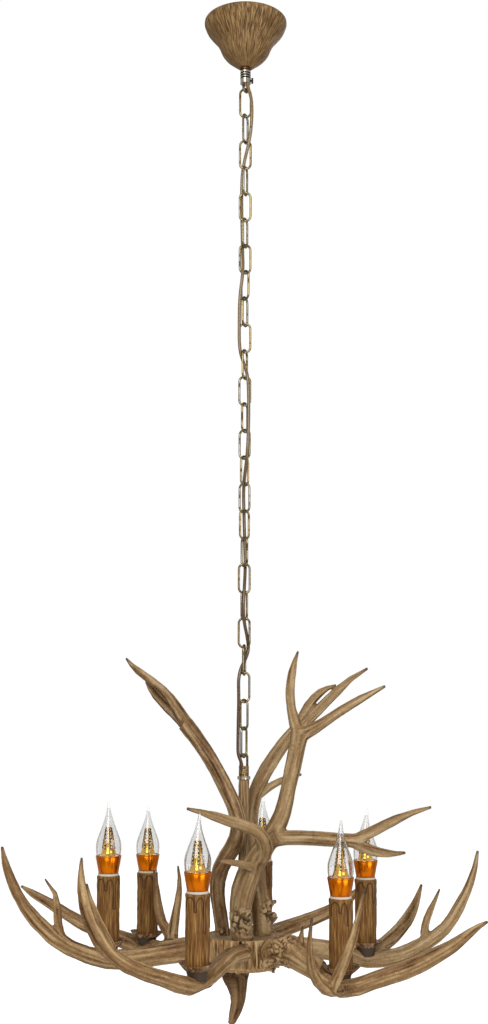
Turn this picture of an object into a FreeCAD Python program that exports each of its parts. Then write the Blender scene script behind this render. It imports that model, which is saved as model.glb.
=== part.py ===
"""Six-light antler chandelier on a chain, with its ceiling canopy.

Millimetres, +Z up. The origin is the centre of the ceiling plate's top face,
where the chandelier is fixed to the ceiling. +X points right and +Y back.
"""
import FreeCAD, Part

import math
import os

from FreeCAD import Vector

# ---- ceiling end ----
CANOPY_RIM_RADIUS = 62.6
CANOPY_HEIGHT = 71.0
CANOPY_WALL = 1.5
CANOPY_LIP = 3.0
CANOPY_FLARE_RADIUS = 41.8
CANOPY_FLARE_DROP = 32.6
CANOPY_WAIST_RADIUS = 35.2
CANOPY_WAIST_DROP = 48.2
CANOPY_BULGE_RADIUS = 21.6
CANOPY_BULGE_DROP = 61.8
CANOPY_BASE_RADIUS = 10.5
CUT_MARGIN = 1.0
BRACKET_LENGTH = 104.0
BRACKET_WIDTH = 20.0
BRACKET_THICKNESS = 2.0
BRACKET_DROP = 14.0
BRACKET_FOOT = 22.0
BRACKET_BEND = 1.0
BRACKET_HOLE_RADIUS = 2.3
BRACKET_HOLE_SPACING = 80.0
NIPPLE_RADIUS = 5.0
NIPPLE_BORE_RADIUS = 3.2
NIPPLE_ABOVE_BRACKET = 6.0
NIPPLE_IN_COLLAR = 8.0
NIPPLE_NUT_FLATS = 14.0
NIPPLE_NUT_HEIGHT = 4.0
LOCK_NUT_RADIUS = 7.5
LOCK_NUT_HEIGHT = 3.5
DARK_WASHER_RADIUS = 6.5
DARK_WASHER_HEIGHT = 2.0
COLLAR_RADIUS = 8.0
COLLAR_HEIGHT = 19.0
COLLAR_GROOVES = 3
COLLAR_GROOVE_HEIGHT = 2.4
COLLAR_GROOVE_PITCH = 3.6
COLLAR_GROOVE_START = 2.4
COLLAR_GROOVE_DEPTH = 0.8
THUMB_SCREW_RADIUS = 1.5
THUMB_HEAD_RADIUS = 4.2
THUMB_HEAD_HEIGHT = 3.0
THUMB_NECK = 0.8
THUMB_FLUTES = 10
THUMB_FLUTE_DEPTH = 0.5
THUMB_ABOVE_COLLAR_FOOT = 5.0
THREAD_CLEARANCE = 0.1

# ---- loop, chain and eye ----
LOOP_WIRE = 4.0
LOOP_HALF_WIDTH = 5.75
LOOP_DROP = 12.0
LOOP_TURN = 60.0
BOW_CORNER_SHARE = 0.65
LINK_COUNT = 25
LINK_WIRE = 3.4
LINK_LENGTH = 47.55
LINK_WIDTH = 19.6
LINK_GAP = 0.3
LINK_TURNS = (
    0, 65, 0, 70, 0, 67, 10, -50, 64, 0, 67, 0, 61,
    -22, 50, -26, 36, -60, 5, 60, -5, 79, 15, -50, 62,
)
WIRE_SIDES = 8
BEND_STEPS = 3
BEND_ANGLES = (0, 45, 75, 105, 135, 180)
EYE_WIRE = 3.8
EYE_HALF_WIDTH = 5.0
EYE_HEIGHT = 17.0
EYE_TURN = 0.0

# ---- supply cord ----
CORD_DIAMETER = 5.0
CORD_CLEARANCE = 0.35
CORD_INLET_DEPTH = 3.0
CORD_BEND_SHARE = 0.45

# ---- stem ----
FITTING_RADIUS = 7.4
FITTING_HEIGHT = 15.0
STEM_WASHER_RADIUS = 9.6
STEM_WASHER_HEIGHT = 4.5
STEM_RADIUS = 8.0
STEM_WALL = 1.4
STEM_LENGTH = 228.0
STEM_FLUTES = 14
STEM_FLUTE_DEPTH = 0.5
TIE_ROD_RADIUS = 3.0
TIE_ROD_IN_FITTING = 6.0
TIE_ROD_IN_FINIAL = 16.0
ROD_NUT_FLATS = 10.0
ROD_NUT_HEIGHT = 5.0
SLIP_CLEARANCE = 0.2

# ---- hub and finial ----
HUB_RADIUS = 56.0
HUB_HEIGHT = 47.0
HUB_WALL = 8.0
HUB_FLOOR = 7.0
HUB_RIDGES = 36
HUB_RIDGE_DEPTH = 1.6
HUB_EDGE_TAPER = 9.0
HUB_ROOTS = 11
HUB_ROOT_REACH = 53.0
HUB_ROOT_LENGTHS = (9.0, 6.0, 11.0, 7.0)
HUB_ROOT_RADIUS = 6.0
HUB_ROOT_TIP_RADIUS = 1.2
HUB_ROOT_LEAN = 35.0
PLATE_THICKNESS = 3.0
PLATE_INSET = 2.0
SEAT_CLEARANCE = 0.15

# ---- candles ----
CANDLE_TOP_BELOW_PLATE = -82.0
SLEEVE_RADIUS = 16.6
SLEEVE_BORE_RADIUS = 14.2
SLEEVE_HEIGHT = 95.0
SLEEVE_SIDES = 20
SLEEVE_FLUTE_DEPTH = 0.5
DRIP_COUNT = 7
DRIP_LENGTHS = (11.0, 30.0, 14.0, 12.0, 22.0, 13.0, 40.0)
DRIP_WIDTHS = (10.0, 5.0, 11.0, 10.0, 6.0, 11.0, 4.5)
DRIP_THICKNESS = 0.9
DRIP_TURN = 37.0
PAN_RADIUS = 27.0
PAN_HEIGHT = 13.0
PAN_FLOOR = 6.0
PAN_WALL = 3.0
PAN_LIPS = 7
PAN_LIP_DEPTH = 6.0
PAN_FOOT_RADIUS = 17.0
PAN_FOOT_DEPTH = 1.0
CUP_RADIUS = 15.0
CUP_FOOT_RADIUS = 12.0
CUP_HEIGHT = 13.0
CANDLE_BOLT_RADIUS = 2.0
CANDLE_BOLT_HEAD_RADIUS = 4.5
CANDLE_BOLT_HEAD_HEIGHT = 3.0
CANDLE_BOLT_IN_BEAM = 10.0
HOLDER_RADIUS = 13.9
HOLDER_DEPTH = 42.0
HOLDER_RIM_RADIUS = 15.0
HOLDER_RIM_HEIGHT = 3.0
HOLDER_BORE_RADIUS = 7.3
HOLDER_FLOOR = 4.0
CAP_RADIUS = 6.9
CAP_LENGTH = 24.0
BULB_GAP = 0.3
BULB_COLLAR_FOOT_RADIUS = 14.3
BULB_COLLAR_RADIUS = 18.4
BULB_COLLAR_HEIGHT = 25.0
BULB_SIDES = 16
BULB_JOINT_DEPTH = 0.5
GLASS_WALL = 1.0
GLASS_TIP_LEAN = 3.5
GLASS_LEAN_START = 30.0
GLASS_CLOSED_RADIUS = 0.4
LED_CONE_HEIGHT = 8.0
LED_COLUMN_FOOT_RADIUS = 7.0
LED_COLUMN_TOP_RADIUS = 4.7
LED_COLUMN_HEIGHT = 41.0

# Bulb outline: height above the metal collar, outer diameter.
GLASS_OUTLINE = ((0, 34.5), (12, 36.0), (28, 29.0), (44, 17.5), (54, 9.5), (63, 4.8), (76, 2.2))

# ---- antlers ----
LIMB_SIDES = 10

# Candle name: azimuth from straight ahead (degrees, + to the right), reach from
# the axis, and height above the common candle level.
CANDLES = {
    "left": (-77, 199, 11),
    "rear_left": (-132, 203, -7),
    "front_left": (-18, 197, 6),
    "rear_right": (171, 193, 5),
    "front_right": (43.5, 192, -7),
    "right": (106.5, 192, -6),
}

# Lower antlers: each limb is a list of (outward, sideways, up, diameter) from the
# foot of the candle's pan, and the first limb starts at the hub.
LOWER_ANTLERS = {
    "left": (
        ((-143, 0, -12, 33), (-61, 3, -16, 30), (0, 0, -18, 28), (53, -3, 0, 23),
         (101, -8, 38, 21), (128, -12, 77, 16), (144, -15, 117, 11), (150, -19, 143, 4)),
        ((62, -3, 6, 17), (70, -9, 33, 13), (71, -11, 53, 11), (89, -19, 96, 3)),
    ),
    "rear_left": (
        ((-147, 2, 9, 33), (-69, 13, -11, 36), (2, 0, -18, 33), (43, 17, -5, 27),
         (94, 46, 14, 21), (140, 78, 46, 18), (166, 98, 64, 11), (178, 109, 74, 4)),
        ((-60, 5, 2, 20), (-62, -1, 41, 14), (-68, -2, 80, 9), (-69, 2, 117, 3)),
        ((-56, 4, 6, 18), (-34, 10, 54, 14), (-34, 14, 83, 9), (-30, 16, 109, 3)),
    ),
    "front_left": (
        ((-141, 20, 0, 27), (-63, 8, -7, 25), (13, -5, -18, 24), (54, -28, -2, 22),
         (90, -60, 18, 20), (116, -90, 53, 18), (127, -105, 99, 15), (125, -111, 134, 9),
         (119, -113, 156, 3)),
        ((106, -78, 41, 15), (110, -90, 66, 13), (106, -104, 92, 10), (99, -115, 121, 3)),
    ),
    "rear_right": (
        ((-137, -1, 5, 33), (-71, -3, -10, 31), (0, -4, -20, 32), (47, -15, -20, 28),
         (75, -53, -9, 25), (87, -95, 7, 23), (90, -135, 32, 15), (85, -159, 62, 4)),
    ),
    "front_right": (
        ((-136, -4, 7, 40), (-94, -6, 18, 46), (-57, -9, 9, 37), (-26, -8, -4, 30),
         (8, -7, -18, 25), (35, 27, -8, 24), (53, 70, 2, 26), (66, 121, 17, 23),
         (74, 150, 28, 19), (84, 178, 45, 13), (94, 205, 58, 4)),
        ((12, -18, -14, 19), (22, -54, -9, 17), (27, -86, 20, 12), (31, -94, 54, 8),
         (30, -88, 88, 3)),
        ((21, -43, -13, 17), (48, -46, 28, 14), (63, -45, 63, 12), (66, -27, 123, 3)),
        ((-72, -9, 22, 16), (-65, -10, 42, 8), (-60, -12, 58, 2)),
        ((-94, -16, 26, 18), (-98, -26, 33, 12), (-99, -30, 38, 5)),
        ((-112, -14, 6, 20), (-116, -28, 2, 13), (-118, -34, -5, 5)),
    ),
    "right": (
        ((-136, -2, 5, 32), (-87, -2, 2, 30), (-40, 1, -8, 28), (3, 1, -18, 27),
         (51, -5, -15, 26), (91, -15, 4, 23), (119, -25, 26, 20), (139, -33, 59, 17),
         (154, -40, 95, 13), (164, -46, 143, 4)),
        ((90, -15, 10, 15), (92, -11, 29, 12), (101, -10, 51, 10), (118, -9, 83, 3)),
        ((14, 8, -12, 22), (59, 30, 9, 23), (83, 42, 26, 21), (100, 51, 45, 16), (119, 60, 81, 4)),
    ),
}

# Upper antlers: each limb is a list of (right, back, up, diameter) from the centre
# of the plate on the hub.
UPPER_ANTLERS = {
    "front": (
        ((-1, -34, -1, 32), (-4, -36, 38, 33), (0, -40, 73, 36), (15, -48, 111, 34),
         (38, -58, 149, 29), (55, -62, 183, 24), (64, -62, 220, 22), (72, -62, 257, 24),
         (81, -62, 302, 26)),
        ((81, -62, 292, 20), (68, -62, 331, 14), (66, -60, 359, 13), (69, -56, 384, 12),
         (78, -50, 415, 3)),
        ((82, -62, 294, 20), (109, -62, 309, 16), (138, -58, 328, 15), (168, -54, 346, 13),
         (204, -48, 365, 4)),
        ((41, -60, 146, 23), (80, -74, 150, 21), (122, -84, 149, 20), (163, -84, 147, 20)),
        ((156, -84, 147, 18), (185, -78, 161, 16), (215, -70, 175, 14), (268, -56, 192, 4)),
        ((154, -84, 146, 17), (178, -84, 134, 15), (204, -82, 129, 11), (228, -80, 130, 4)),
        ((14, -52, 112, 20), (32, -72, 136, 20), (21, -84, 158, 18), (-7, -88, 170, 17),
         (-40, -90, 181, 14), (-80, -94, 192, 4)),
        ((12, -54, 106, 16), (0, -76, 112, 12), (-19, -82, 116, 9), (-37, -86, 118, 3)),
        ((-6, -44, 41, 14), (-8, -53, 43, 9), (-10, -56, 45, 4)),
        ((3, -44, 30, 14), (5, -53, 31, 10), (6, -57, 33, 5)),
        ((-4, -42, 19, 14), (-6, -51, 20, 9), (-7, -55, 22, 4)),
    ),
    "left": (
        ((-30, 10, -1, 22), (-36, 8, 41, 22), (-38, 2, 79, 24), (-25, -14, 115, 25),
         (-9, -26, 145, 25), (-9, -30, 176, 23), (-21, -30, 206, 22), (-40, -28, 244, 22),
         (-58, -24, 273, 23), (-86, -20, 310, 24)),
        ((-76, -20, 297, 20), (-99, -24, 334, 16), (-119, -30, 359, 13), (-154, -36, 386, 11),
         (-172, -38, 405, 3)),
        ((-79, -18, 301, 19), (-109, -8, 331, 17), (-129, -12, 351, 14), (-141, -28, 373, 9)),
    ),
    "right": (
        ((28, 10, -1, 27), (25, 10, 41, 29), (19, 16, 80, 28), (12, 26, 120, 25),
         (10, 34, 160, 23), (16, 40, 202, 23), (34, 46, 240, 23), (60, 52, 279, 21),
         (92, 58, 312, 20)),
        ((86, 57, 306, 17), (98, 62, 336, 15), (117, 64, 357, 12), (141, 66, 368, 4)),
        ((88, 58, 308, 18), (114, 60, 331, 16), (141, 60, 358, 14), (189, 60, 394, 4)),
        ((15, 39, 197, 14), (43, 52, 216, 12), (65, 60, 226, 10), (88, 66, 232, 4)),
        ((32, 8, 44, 14), (41, 5, 47, 9), (48, 3, 50, 4)),
        ((32, 8, 28, 14), (41, 5, 29, 10), (48, 3, 31, 5)),
    ),
}

# Finial limb from the centre of the hub's underside: (right, back, up, diameter).
FINIAL = (
    (-9, -4, 2, 40), (-11, -4, -14, 39), (-9, -4, -26, 29), (-8, -4, -38, 23), (-9, -4, -52, 18),
    (-13, -4, -67, 15), (-18, -4, -81, 9),
)

# Cord route, woven through the chain: (right, back, below the ceiling).
CORD_ROUTE = (
    (2.8, -3.9, 93.5), (4.2, -5.2, 105), (9.2, -7.4, 121), (10.2, -7.4, 148), (7.2, -7, 184),
    (-4.4, 7.2, 225), (-5.6, 7.4, 262), (-5, 6.6, 306), (-4, 6.4, 347), (-2.6, -7, 389),
    (-8, -6.4, 427), (-8.6, -4.8, 466), (-8.4, -5.6, 509), (-0.6, 0.2, 531), (5, -5.9, 551),
    (6.2, -6.2, 590), (5.6, -8, 634), (4, -9, 670), (-1.8, 9, 712), (-0.8, 10, 756),
    (0.5, 9.8, 798), (1.6, 9.8, 836), (-0.2, -11.6, 873), (-1.8, -12.6, 912), (5.8, 7.4, 946),
    (6.6, 6.6, 965), (-8.6, -7.8, 994), (-7.6, -7.6, 1032), (-8.4, -5.4, 1068),
    (-8.8, -4.8, 1100), (-8.6, -5.4, 1115), (-3, -5.2, 1127), (-2.4, -4.4, 1138),
)
# The runs in whose middle one cord piece ends and the next begins.
CORD_JOINS = (3, 27)


# ---- derived levels, measured down from the ceiling as negative Z ----
CANOPY_BOTTOM = -CANOPY_HEIGHT
LOCK_NUT_BOTTOM = CANOPY_BOTTOM - LOCK_NUT_HEIGHT
COLLAR_TOP = LOCK_NUT_BOTTOM - DARK_WASHER_HEIGHT
COLLAR_BOTTOM = COLLAR_TOP - COLLAR_HEIGHT
LOOP_AXIS = COLLAR_BOTTOM - LOOP_DROP
HOOK_OFFSET = (LOOP_WIRE + LINK_WIRE) / 2 + LINK_GAP
LINK_PITCH = LINK_LENGTH - 2 * LINK_WIRE - LINK_GAP
LINK_SPAN = LINK_LENGTH - LINK_WIRE
FIRST_LINK_TOP = LOOP_AXIS + HOOK_OFFSET
LAST_LINK_BOTTOM = FIRST_LINK_TOP - LINK_PITCH * (LINK_COUNT - 1) - LINK_SPAN
EYE_AXIS = LAST_LINK_BOTTOM + (EYE_WIRE + LINK_WIRE) / 2 + LINK_GAP
FITTING_TOP = EYE_AXIS - EYE_HEIGHT
FITTING_BOTTOM = FITTING_TOP - FITTING_HEIGHT
STEM_TOP = FITTING_BOTTOM - STEM_WASHER_HEIGHT
PLATE_TOP = STEM_TOP - STEM_LENGTH
HUB_TOP = PLATE_TOP + PLATE_INSET
HUB_BOTTOM = HUB_TOP - HUB_HEIGHT
CANDLE_LEVEL = PLATE_TOP - CANDLE_TOP_BELOW_PLATE
THUMB_LEVEL = COLLAR_BOTTOM + THUMB_ABOVE_COLLAR_FOOT


def cylinder(radius, bottom, top, x=0.0, y=0.0):
    """Upright round bar between two levels."""
    return Part.makeCylinder(radius, top - bottom, Vector(x, y, bottom))


def tube(outer, inner, bottom, top, x=0.0, y=0.0):
    """Upright tube between two levels."""
    return cylinder(outer, bottom, top, x, y).cut(cylinder(inner, bottom, top, x, y))


def ring_points(count, radius, z, x=0.0, y=0.0, radius_between=None):
    """Corners of a regular outline, or of a star with inner corners between them."""
    points = []
    inner = radius_between if radius_between else radius
    steps = 2 * count if radius_between else count
    for step in range(steps):
        angle = 2 * math.pi * step / steps
        reach = inner if radius_between and step % 2 else radius
        points.append(Vector(x + reach * math.cos(angle), y + reach * math.sin(angle), z))
    return points


def outline(points):
    """Closed wire through corners."""
    return Part.makePolygon(list(points) + [points[0]])


def prism(points, height):
    """Upright prism on a flat outline."""
    return Part.Face(outline(points)).extrude(Vector(0, 0, height))


def hex_nut(flats, bore, bottom, height, x=0.0, y=0.0):
    """Hexagon nut with a plain bore."""
    body = prism(ring_points(6, flats / math.sqrt(3), bottom, x, y), height)
    return body.cut(cylinder(bore, bottom, bottom + height, x, y))


def turned(x, y, degrees, shape):
    """Turn a shape about an upright axis."""
    copy = shape.copy()
    copy.rotate(Vector(x, y, 0), Vector(0, 0, 1), degrees)
    return copy


def faceted_wire(path, diameter, closed):
    """Solid wire with flat sides along a flat upright path in the XZ plane, mitred at its corners.

    Args:
        path: points with y = 0, in order.
        diameter: wire diameter over its corners.
        closed: whether the last point joins the first.
    """
    count = len(path)
    rings = []
    for index, point in enumerate(path):
        before = path[index - 1] if closed or index else point
        after = path[(index + 1) % count] if closed or index < count - 1 else point
        inward = (point - before).normalize() if before != point else None
        onward = (after - point).normalize() if after != point else None
        along = (inward + onward).normalize() if inward and onward else (inward or onward)
        half_turn = math.acos(min(1.0, along.dot(onward or inward)))
        across = Vector(0, 1, 0).cross(along)
        ring = []
        for side in range(WIRE_SIDES):
            angle = 2 * math.pi * (side + 0.5) / WIRE_SIDES
            out = diameter / 2 * math.cos(angle) / math.cos(half_turn)
            ring.append(point + across * out + Vector(0, diameter / 2 * math.sin(angle), 0))
        rings.append(ring)
    faces = []
    for index in range(count if closed else count - 1):
        near = rings[index]
        far = rings[(index + 1) % count]
        for side in range(WIRE_SIDES):
            nxt = (side + 1) % WIRE_SIDES
            faces.append(Part.Face(outline([near[side], near[nxt], far[nxt], far[side]])))
    if not closed:
        faces += [Part.Face(outline(rings[0])), Part.Face(outline(rings[-1]))]
    solid = Part.Solid(Part.Shell(faces))
    return solid if solid.Volume > 0 else solid.reversed()


def chain_link(index):
    """One stadium-shaped link, counted from the ceiling, whose bends have their flat at the full span."""
    top = FIRST_LINK_TOP - LINK_PITCH * index
    bend = (LINK_WIDTH - LINK_WIRE) / 2
    rise = bend / math.sin(math.radians(BEND_ANGLES[2]))
    path = []
    for centre, sign in ((top - bend, 1), (top - LINK_SPAN + bend, -1)):
        for degrees in BEND_ANGLES:
            angle = math.radians(degrees)
            path.append(Vector(sign * bend * math.cos(angle), 0, centre + sign * rise * math.sin(angle)))
    return turned(0, 0, LINK_TURNS[index], faceted_wire(path, LINK_WIRE, closed=True))


def bow(axis_level, end_level, half_width, wire, degrees):
    """U-shaped bow: two prongs and a rounded bar whose middle line is at axis_level."""
    sign = 1 if end_level > axis_level else -1
    corner = half_width * BOW_CORNER_SHARE
    path = [Vector(-half_width, 0, end_level)]
    for step in range(BEND_STEPS + 1):
        angle = math.pi / 2 * step / BEND_STEPS
        path.append(Vector(-half_width + corner * (1 - math.cos(angle)), 0,
                           axis_level + sign * corner * (1 - math.sin(angle))))
    path += [Vector(-point.x, 0, point.z) for point in reversed(path)]
    return turned(0, 0, degrees, faceted_wire(path, wire, closed=False))


def bow_feet(half_width, degrees):
    """Where a bow's two prongs stand."""
    angle = math.radians(degrees)
    return [(side * half_width * math.cos(angle), side * half_width * math.sin(angle)) for side in (-1, 1)]


def limb(points):
    """Tapering limb with flat sides through (x, y, z, diameter) points, smooth along its length."""
    curve = Part.BSplineCurve()
    curve.interpolate([Vector(*point[:3]) for point in points])
    knots = [curve.parameter(Vector(*point[:3])) for point in points]
    stations = []
    for index, point in enumerate(points):
        stations.append((knots[index], point[3]))
        if index < len(points) - 1:
            middle = (knots[index] + knots[index + 1]) / 2
            stations.append((middle, (point[3] + points[index + 1][3]) / 2))
    side = None
    wires = []
    for parameter, diameter in stations:
        centre = curve.value(parameter)
        along = curve.tangent(parameter)[0]
        if side is None:
            back = Vector(0, 1, 0)
            right = Vector(1, 0, 0)
            side = along.cross(back if abs(along.y) < abs(along.x) + abs(along.z) else right)
        side = (side - along * side.dot(along)).normalize()
        other = along.cross(side)
        radius = diameter / 2
        corners = []
        for step in range(LIMB_SIDES):
            angle = 2 * math.pi * step / LIMB_SIDES
            corners.append(centre + side * (radius * math.cos(angle)) + other * (radius * math.sin(angle)))
        wires.append(outline(corners))
    return Part.makeLoft(wires, True, True)


def branch(limbs):
    """Fuse an antler's limbs into one piece."""
    solid = limb(limbs[0])
    for points in limbs[1:]:
        solid = solid.fuse(limb(points))
    return solid


def main_solid(shape):
    """The largest solid of a cut shape."""
    return max(shape.Solids, key=lambda solid: solid.Volume)


# ---- ceiling end ----
def canopy():
    """Bell-shaped cover: a lip, a concave flare and a rounded base, open at the top."""
    shell = bell(0.0).cut(bell(CANOPY_WALL))
    return shell.cut(cylinder(NIPPLE_RADIUS + SLIP_CLEARANCE, CANOPY_BOTTOM - CUT_MARGIN, 0))


def bell(inset):
    """The bell's outer form, or the same form set in by the wall."""
    rim = CANOPY_RIM_RADIUS - inset
    top = Vector(0, 0, CUT_MARGIN if inset else 0.0)
    lip = Vector(rim, 0, -CANOPY_LIP)
    flare = Vector(CANOPY_FLARE_RADIUS - inset, 0, -CANOPY_FLARE_DROP)
    waist = Vector(CANOPY_WAIST_RADIUS - inset, 0, -CANOPY_WAIST_DROP)
    bulge = Vector(CANOPY_BULGE_RADIUS - inset, 0, inset / 2 - CANOPY_BULGE_DROP)
    base = Vector(CANOPY_BASE_RADIUS - inset / 2, 0, CANOPY_BOTTOM + inset)
    edges = [
        Part.makeLine(top, Vector(rim, 0, top.z)),
        Part.makeLine(Vector(rim, 0, top.z), lip),
        Part.Arc(lip, flare, waist).toShape(),
        Part.Arc(waist, bulge, base).toShape(),
        Part.makeLine(base, Vector(0, 0, base.z)),
        Part.makeLine(Vector(0, 0, base.z), top),
    ]
    return Part.Face(Part.Wire(edges)).revolve(Vector(0, 0, 0), Vector(0, 0, 1), 360)


def ceiling_bracket():
    """Steel strap with two feet on the ceiling and a dropped middle for the nipple."""
    half = BRACKET_LENGTH / 2
    foot = half - BRACKET_FOOT
    slope = foot - BRACKET_DROP
    low = BRACKET_THICKNESS - BRACKET_DROP
    under = -BRACKET_THICKNESS
    side = [(half, 0), (half, under), (foot, under), (slope, low + under)]
    back = [(slope + BRACKET_BEND, low), (foot + BRACKET_BEND, 0)]
    right = [Vector(x, -BRACKET_WIDTH / 2, z) for x, z in side]
    inner = [Vector(x, -BRACKET_WIDTH / 2, z) for x, z in back]
    left = [Vector(-point.x, point.y, point.z) for point in reversed(right)]
    inner_left = [Vector(-point.x, point.y, point.z) for point in reversed(inner)]
    strap = Part.Face(outline(right + left + inner_left + inner)).extrude(Vector(0, BRACKET_WIDTH, 0))
    for x in (-BRACKET_HOLE_SPACING / 2, BRACKET_HOLE_SPACING / 2):
        strap = strap.cut(cylinder(BRACKET_HOLE_RADIUS, -BRACKET_THICKNESS - CUT_MARGIN, CUT_MARGIN, x))
    return strap.cut(cylinder(NIPPLE_RADIUS + SLIP_CLEARANCE, -BRACKET_DROP - CUT_MARGIN, CUT_MARGIN))


def nipple():
    """Hollow threaded tube that carries the whole fitting."""
    top = BRACKET_THICKNESS - BRACKET_DROP + NIPPLE_ABOVE_BRACKET
    return tube(NIPPLE_RADIUS, NIPPLE_BORE_RADIUS, COLLAR_TOP - NIPPLE_IN_COLLAR, top)


def nipple_nuts():
    """The nuts above and below the bracket."""
    above = BRACKET_THICKNESS - BRACKET_DROP
    below = -BRACKET_DROP - NIPPLE_NUT_HEIGHT
    bore = NIPPLE_RADIUS + THREAD_CLEARANCE
    return Part.makeCompound([hex_nut(NIPPLE_NUT_FLATS, bore, z, NIPPLE_NUT_HEIGHT) for z in (above, below)])


def lock_nut():
    """Round nut that draws the canopy up to the ceiling."""
    return tube(LOCK_NUT_RADIUS, NIPPLE_RADIUS + THREAD_CLEARANCE, LOCK_NUT_BOTTOM, CANOPY_BOTTOM)


def dark_washer():
    """Dark washer between the nut and the collar."""
    return tube(DARK_WASHER_RADIUS, NIPPLE_RADIUS + THREAD_CLEARANCE, COLLAR_TOP, LOCK_NUT_BOTTOM)


def cord_inlet(end, neighbour):
    """Round hole that takes the cord's end, along the cord's last run."""
    start = Vector(end[0], end[1], -end[2])
    along = Vector(neighbour[0], neighbour[1], -neighbour[2]) - start
    return Part.makeCylinder(CORD_DIAMETER / 2 + CORD_CLEARANCE, along.Length, start, along)


def cord_grip():
    """Grooved collar on the nipple, with sockets for the bow and the cord's outlet."""
    collar = cylinder(COLLAR_RADIUS, COLLAR_BOTTOM, COLLAR_TOP)
    for groove in range(COLLAR_GROOVES):
        top = COLLAR_TOP - COLLAR_GROOVE_START - COLLAR_GROOVE_PITCH * groove
        ring = tube(COLLAR_RADIUS + CUT_MARGIN, COLLAR_RADIUS - COLLAR_GROOVE_DEPTH,
                    top - COLLAR_GROOVE_HEIGHT / 2, top)
        collar = collar.cut(ring)
    collar = collar.cut(cylinder(NIPPLE_RADIUS + THREAD_CLEARANCE, COLLAR_TOP - NIPPLE_IN_COLLAR, COLLAR_TOP))
    for x, y in bow_feet(LOOP_HALF_WIDTH, LOOP_TURN):
        socket = cylinder(LOOP_WIRE / 2 + SLIP_CLEARANCE / 2, COLLAR_BOTTOM, COLLAR_BOTTOM + LOOP_WIRE, x, y)
        collar = collar.cut(socket)
    inlet = cord_inlet(CORD_ROUTE[0], CORD_ROUTE[1])
    screw_hole = Part.makeCylinder(THUMB_SCREW_RADIUS + THREAD_CLEARANCE, COLLAR_RADIUS,
                                   Vector(NIPPLE_BORE_RADIUS, 0, THUMB_LEVEL), Vector(1, 0, 0))
    return collar.cut(inlet).cut(screw_hole)


def thumb_screw():
    """Fluted thumb screw in the collar's side."""
    inner = NIPPLE_BORE_RADIUS + CUT_MARGIN
    head_start = COLLAR_RADIUS + THUMB_NECK
    shank = Part.makeCylinder(THUMB_SCREW_RADIUS, head_start - inner + THUMB_HEAD_HEIGHT / 2,
                              Vector(inner, 0, THUMB_LEVEL), Vector(1, 0, 0))
    valley = THUMB_HEAD_RADIUS - THUMB_FLUTE_DEPTH
    rim = ring_points(THUMB_FLUTES, THUMB_HEAD_RADIUS, 0, radius_between=valley)
    head = prism(rim, THUMB_HEAD_HEIGHT)
    head.rotate(Vector(0, 0, 0), Vector(0, 1, 0), 90)
    head.translate(Vector(head_start, 0, THUMB_LEVEL))
    return shank.fuse(head)


# ---- supply cord ----
def cord_pieces():
    """The cord's free stretches, each a tube of straight runs joined by tangent arcs."""
    points = [Vector(x, y, -z) for x, y, z in CORD_ROUTE]
    cuts = [(points[run] + points[run + 1]) / 2 for run in CORD_JOINS]
    first, last = CORD_JOINS
    stretches = {
        "cord_top": points[:first + 1] + cuts[:1],
        "cord_run": cuts[:1] + points[first + 1:last + 1] + cuts[1:],
        "cord_end": cuts[1:] + points[last + 1:],
    }
    return {name: cord_tube(name, stretch) for name, stretch in stretches.items()}


def cord_tube(name, points):
    """Sweep the cord's round section along one stretch, and print its bend radii."""
    edges = []
    radii = []
    here = points[0]
    for before, corner, after in zip(points, points[1:], points[2:]):
        inward = (corner - before).normalize()
        onward = (after - corner).normalize()
        half_turn = inward.getAngle(onward) / 2
        setback = CORD_BEND_SHARE * min((corner - before).Length, (after - corner).Length)
        radii.append(round(setback / math.tan(half_turn), 1))
        start = corner - inward * setback
        end = corner + onward * setback
        rise = setback / math.tan(half_turn) * (1 / math.cos(half_turn) - 1)
        middle = corner + (onward - inward).normalize() * rise
        edges.append(Part.LineSegment(here, start).toShape())
        edges.append(Part.Arc(start, middle, end).toShape())
        here = end
    edges.append(Part.LineSegment(here, points[-1]).toShape())
    path = Part.Wire(edges)
    section = Part.Wire(Part.Circle(points[0], points[1] - points[0], CORD_DIAMETER / 2).toShape())
    tube_solid = path.makePipeShell([section], True, False)
    share = tube_solid.Volume / (math.pi * CORD_DIAMETER ** 2 / 4 * path.Length)
    print(name, "length", round(path.Length, 1), "radii", radii, "volume share", round(share, 4))
    return tube_solid


# ---- stem ----
def stem_fitting():
    """Round body under the eye, with the cord's inlet in its top."""
    body = cylinder(FITTING_RADIUS, FITTING_BOTTOM, FITTING_TOP)
    for x, y in bow_feet(EYE_HALF_WIDTH, EYE_TURN):
        socket = cylinder(EYE_WIRE / 2 + SLIP_CLEARANCE / 2, FITTING_TOP - EYE_WIRE, FITTING_TOP, x, y)
        body = body.cut(socket)
    rod = cylinder(TIE_ROD_RADIUS + THREAD_CLEARANCE, FITTING_BOTTOM, FITTING_BOTTOM + TIE_ROD_IN_FITTING)
    return main_solid(body.cut(rod).cut(cord_inlet(CORD_ROUTE[-1], CORD_ROUTE[-2])))


def stem_washer():
    """Bright washer between the fitting and the stem."""
    return tube(STEM_WASHER_RADIUS, TIE_ROD_RADIUS + SLIP_CLEARANCE, STEM_TOP, FITTING_BOTTOM)


def stem_tube():
    """Fluted stem tube standing on the hub's plate."""
    valley = STEM_RADIUS - STEM_FLUTE_DEPTH
    flutes = ring_points(STEM_FLUTES, STEM_RADIUS, PLATE_TOP, radius_between=valley)
    return prism(flutes, STEM_LENGTH).cut(cylinder(valley - STEM_WALL, PLATE_TOP, STEM_TOP))


def tie_rod():
    """Threaded rod that clamps stem, hub and finial together."""
    return cylinder(TIE_ROD_RADIUS, HUB_BOTTOM - TIE_ROD_IN_FINIAL, FITTING_BOTTOM + TIE_ROD_IN_FITTING)


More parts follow.
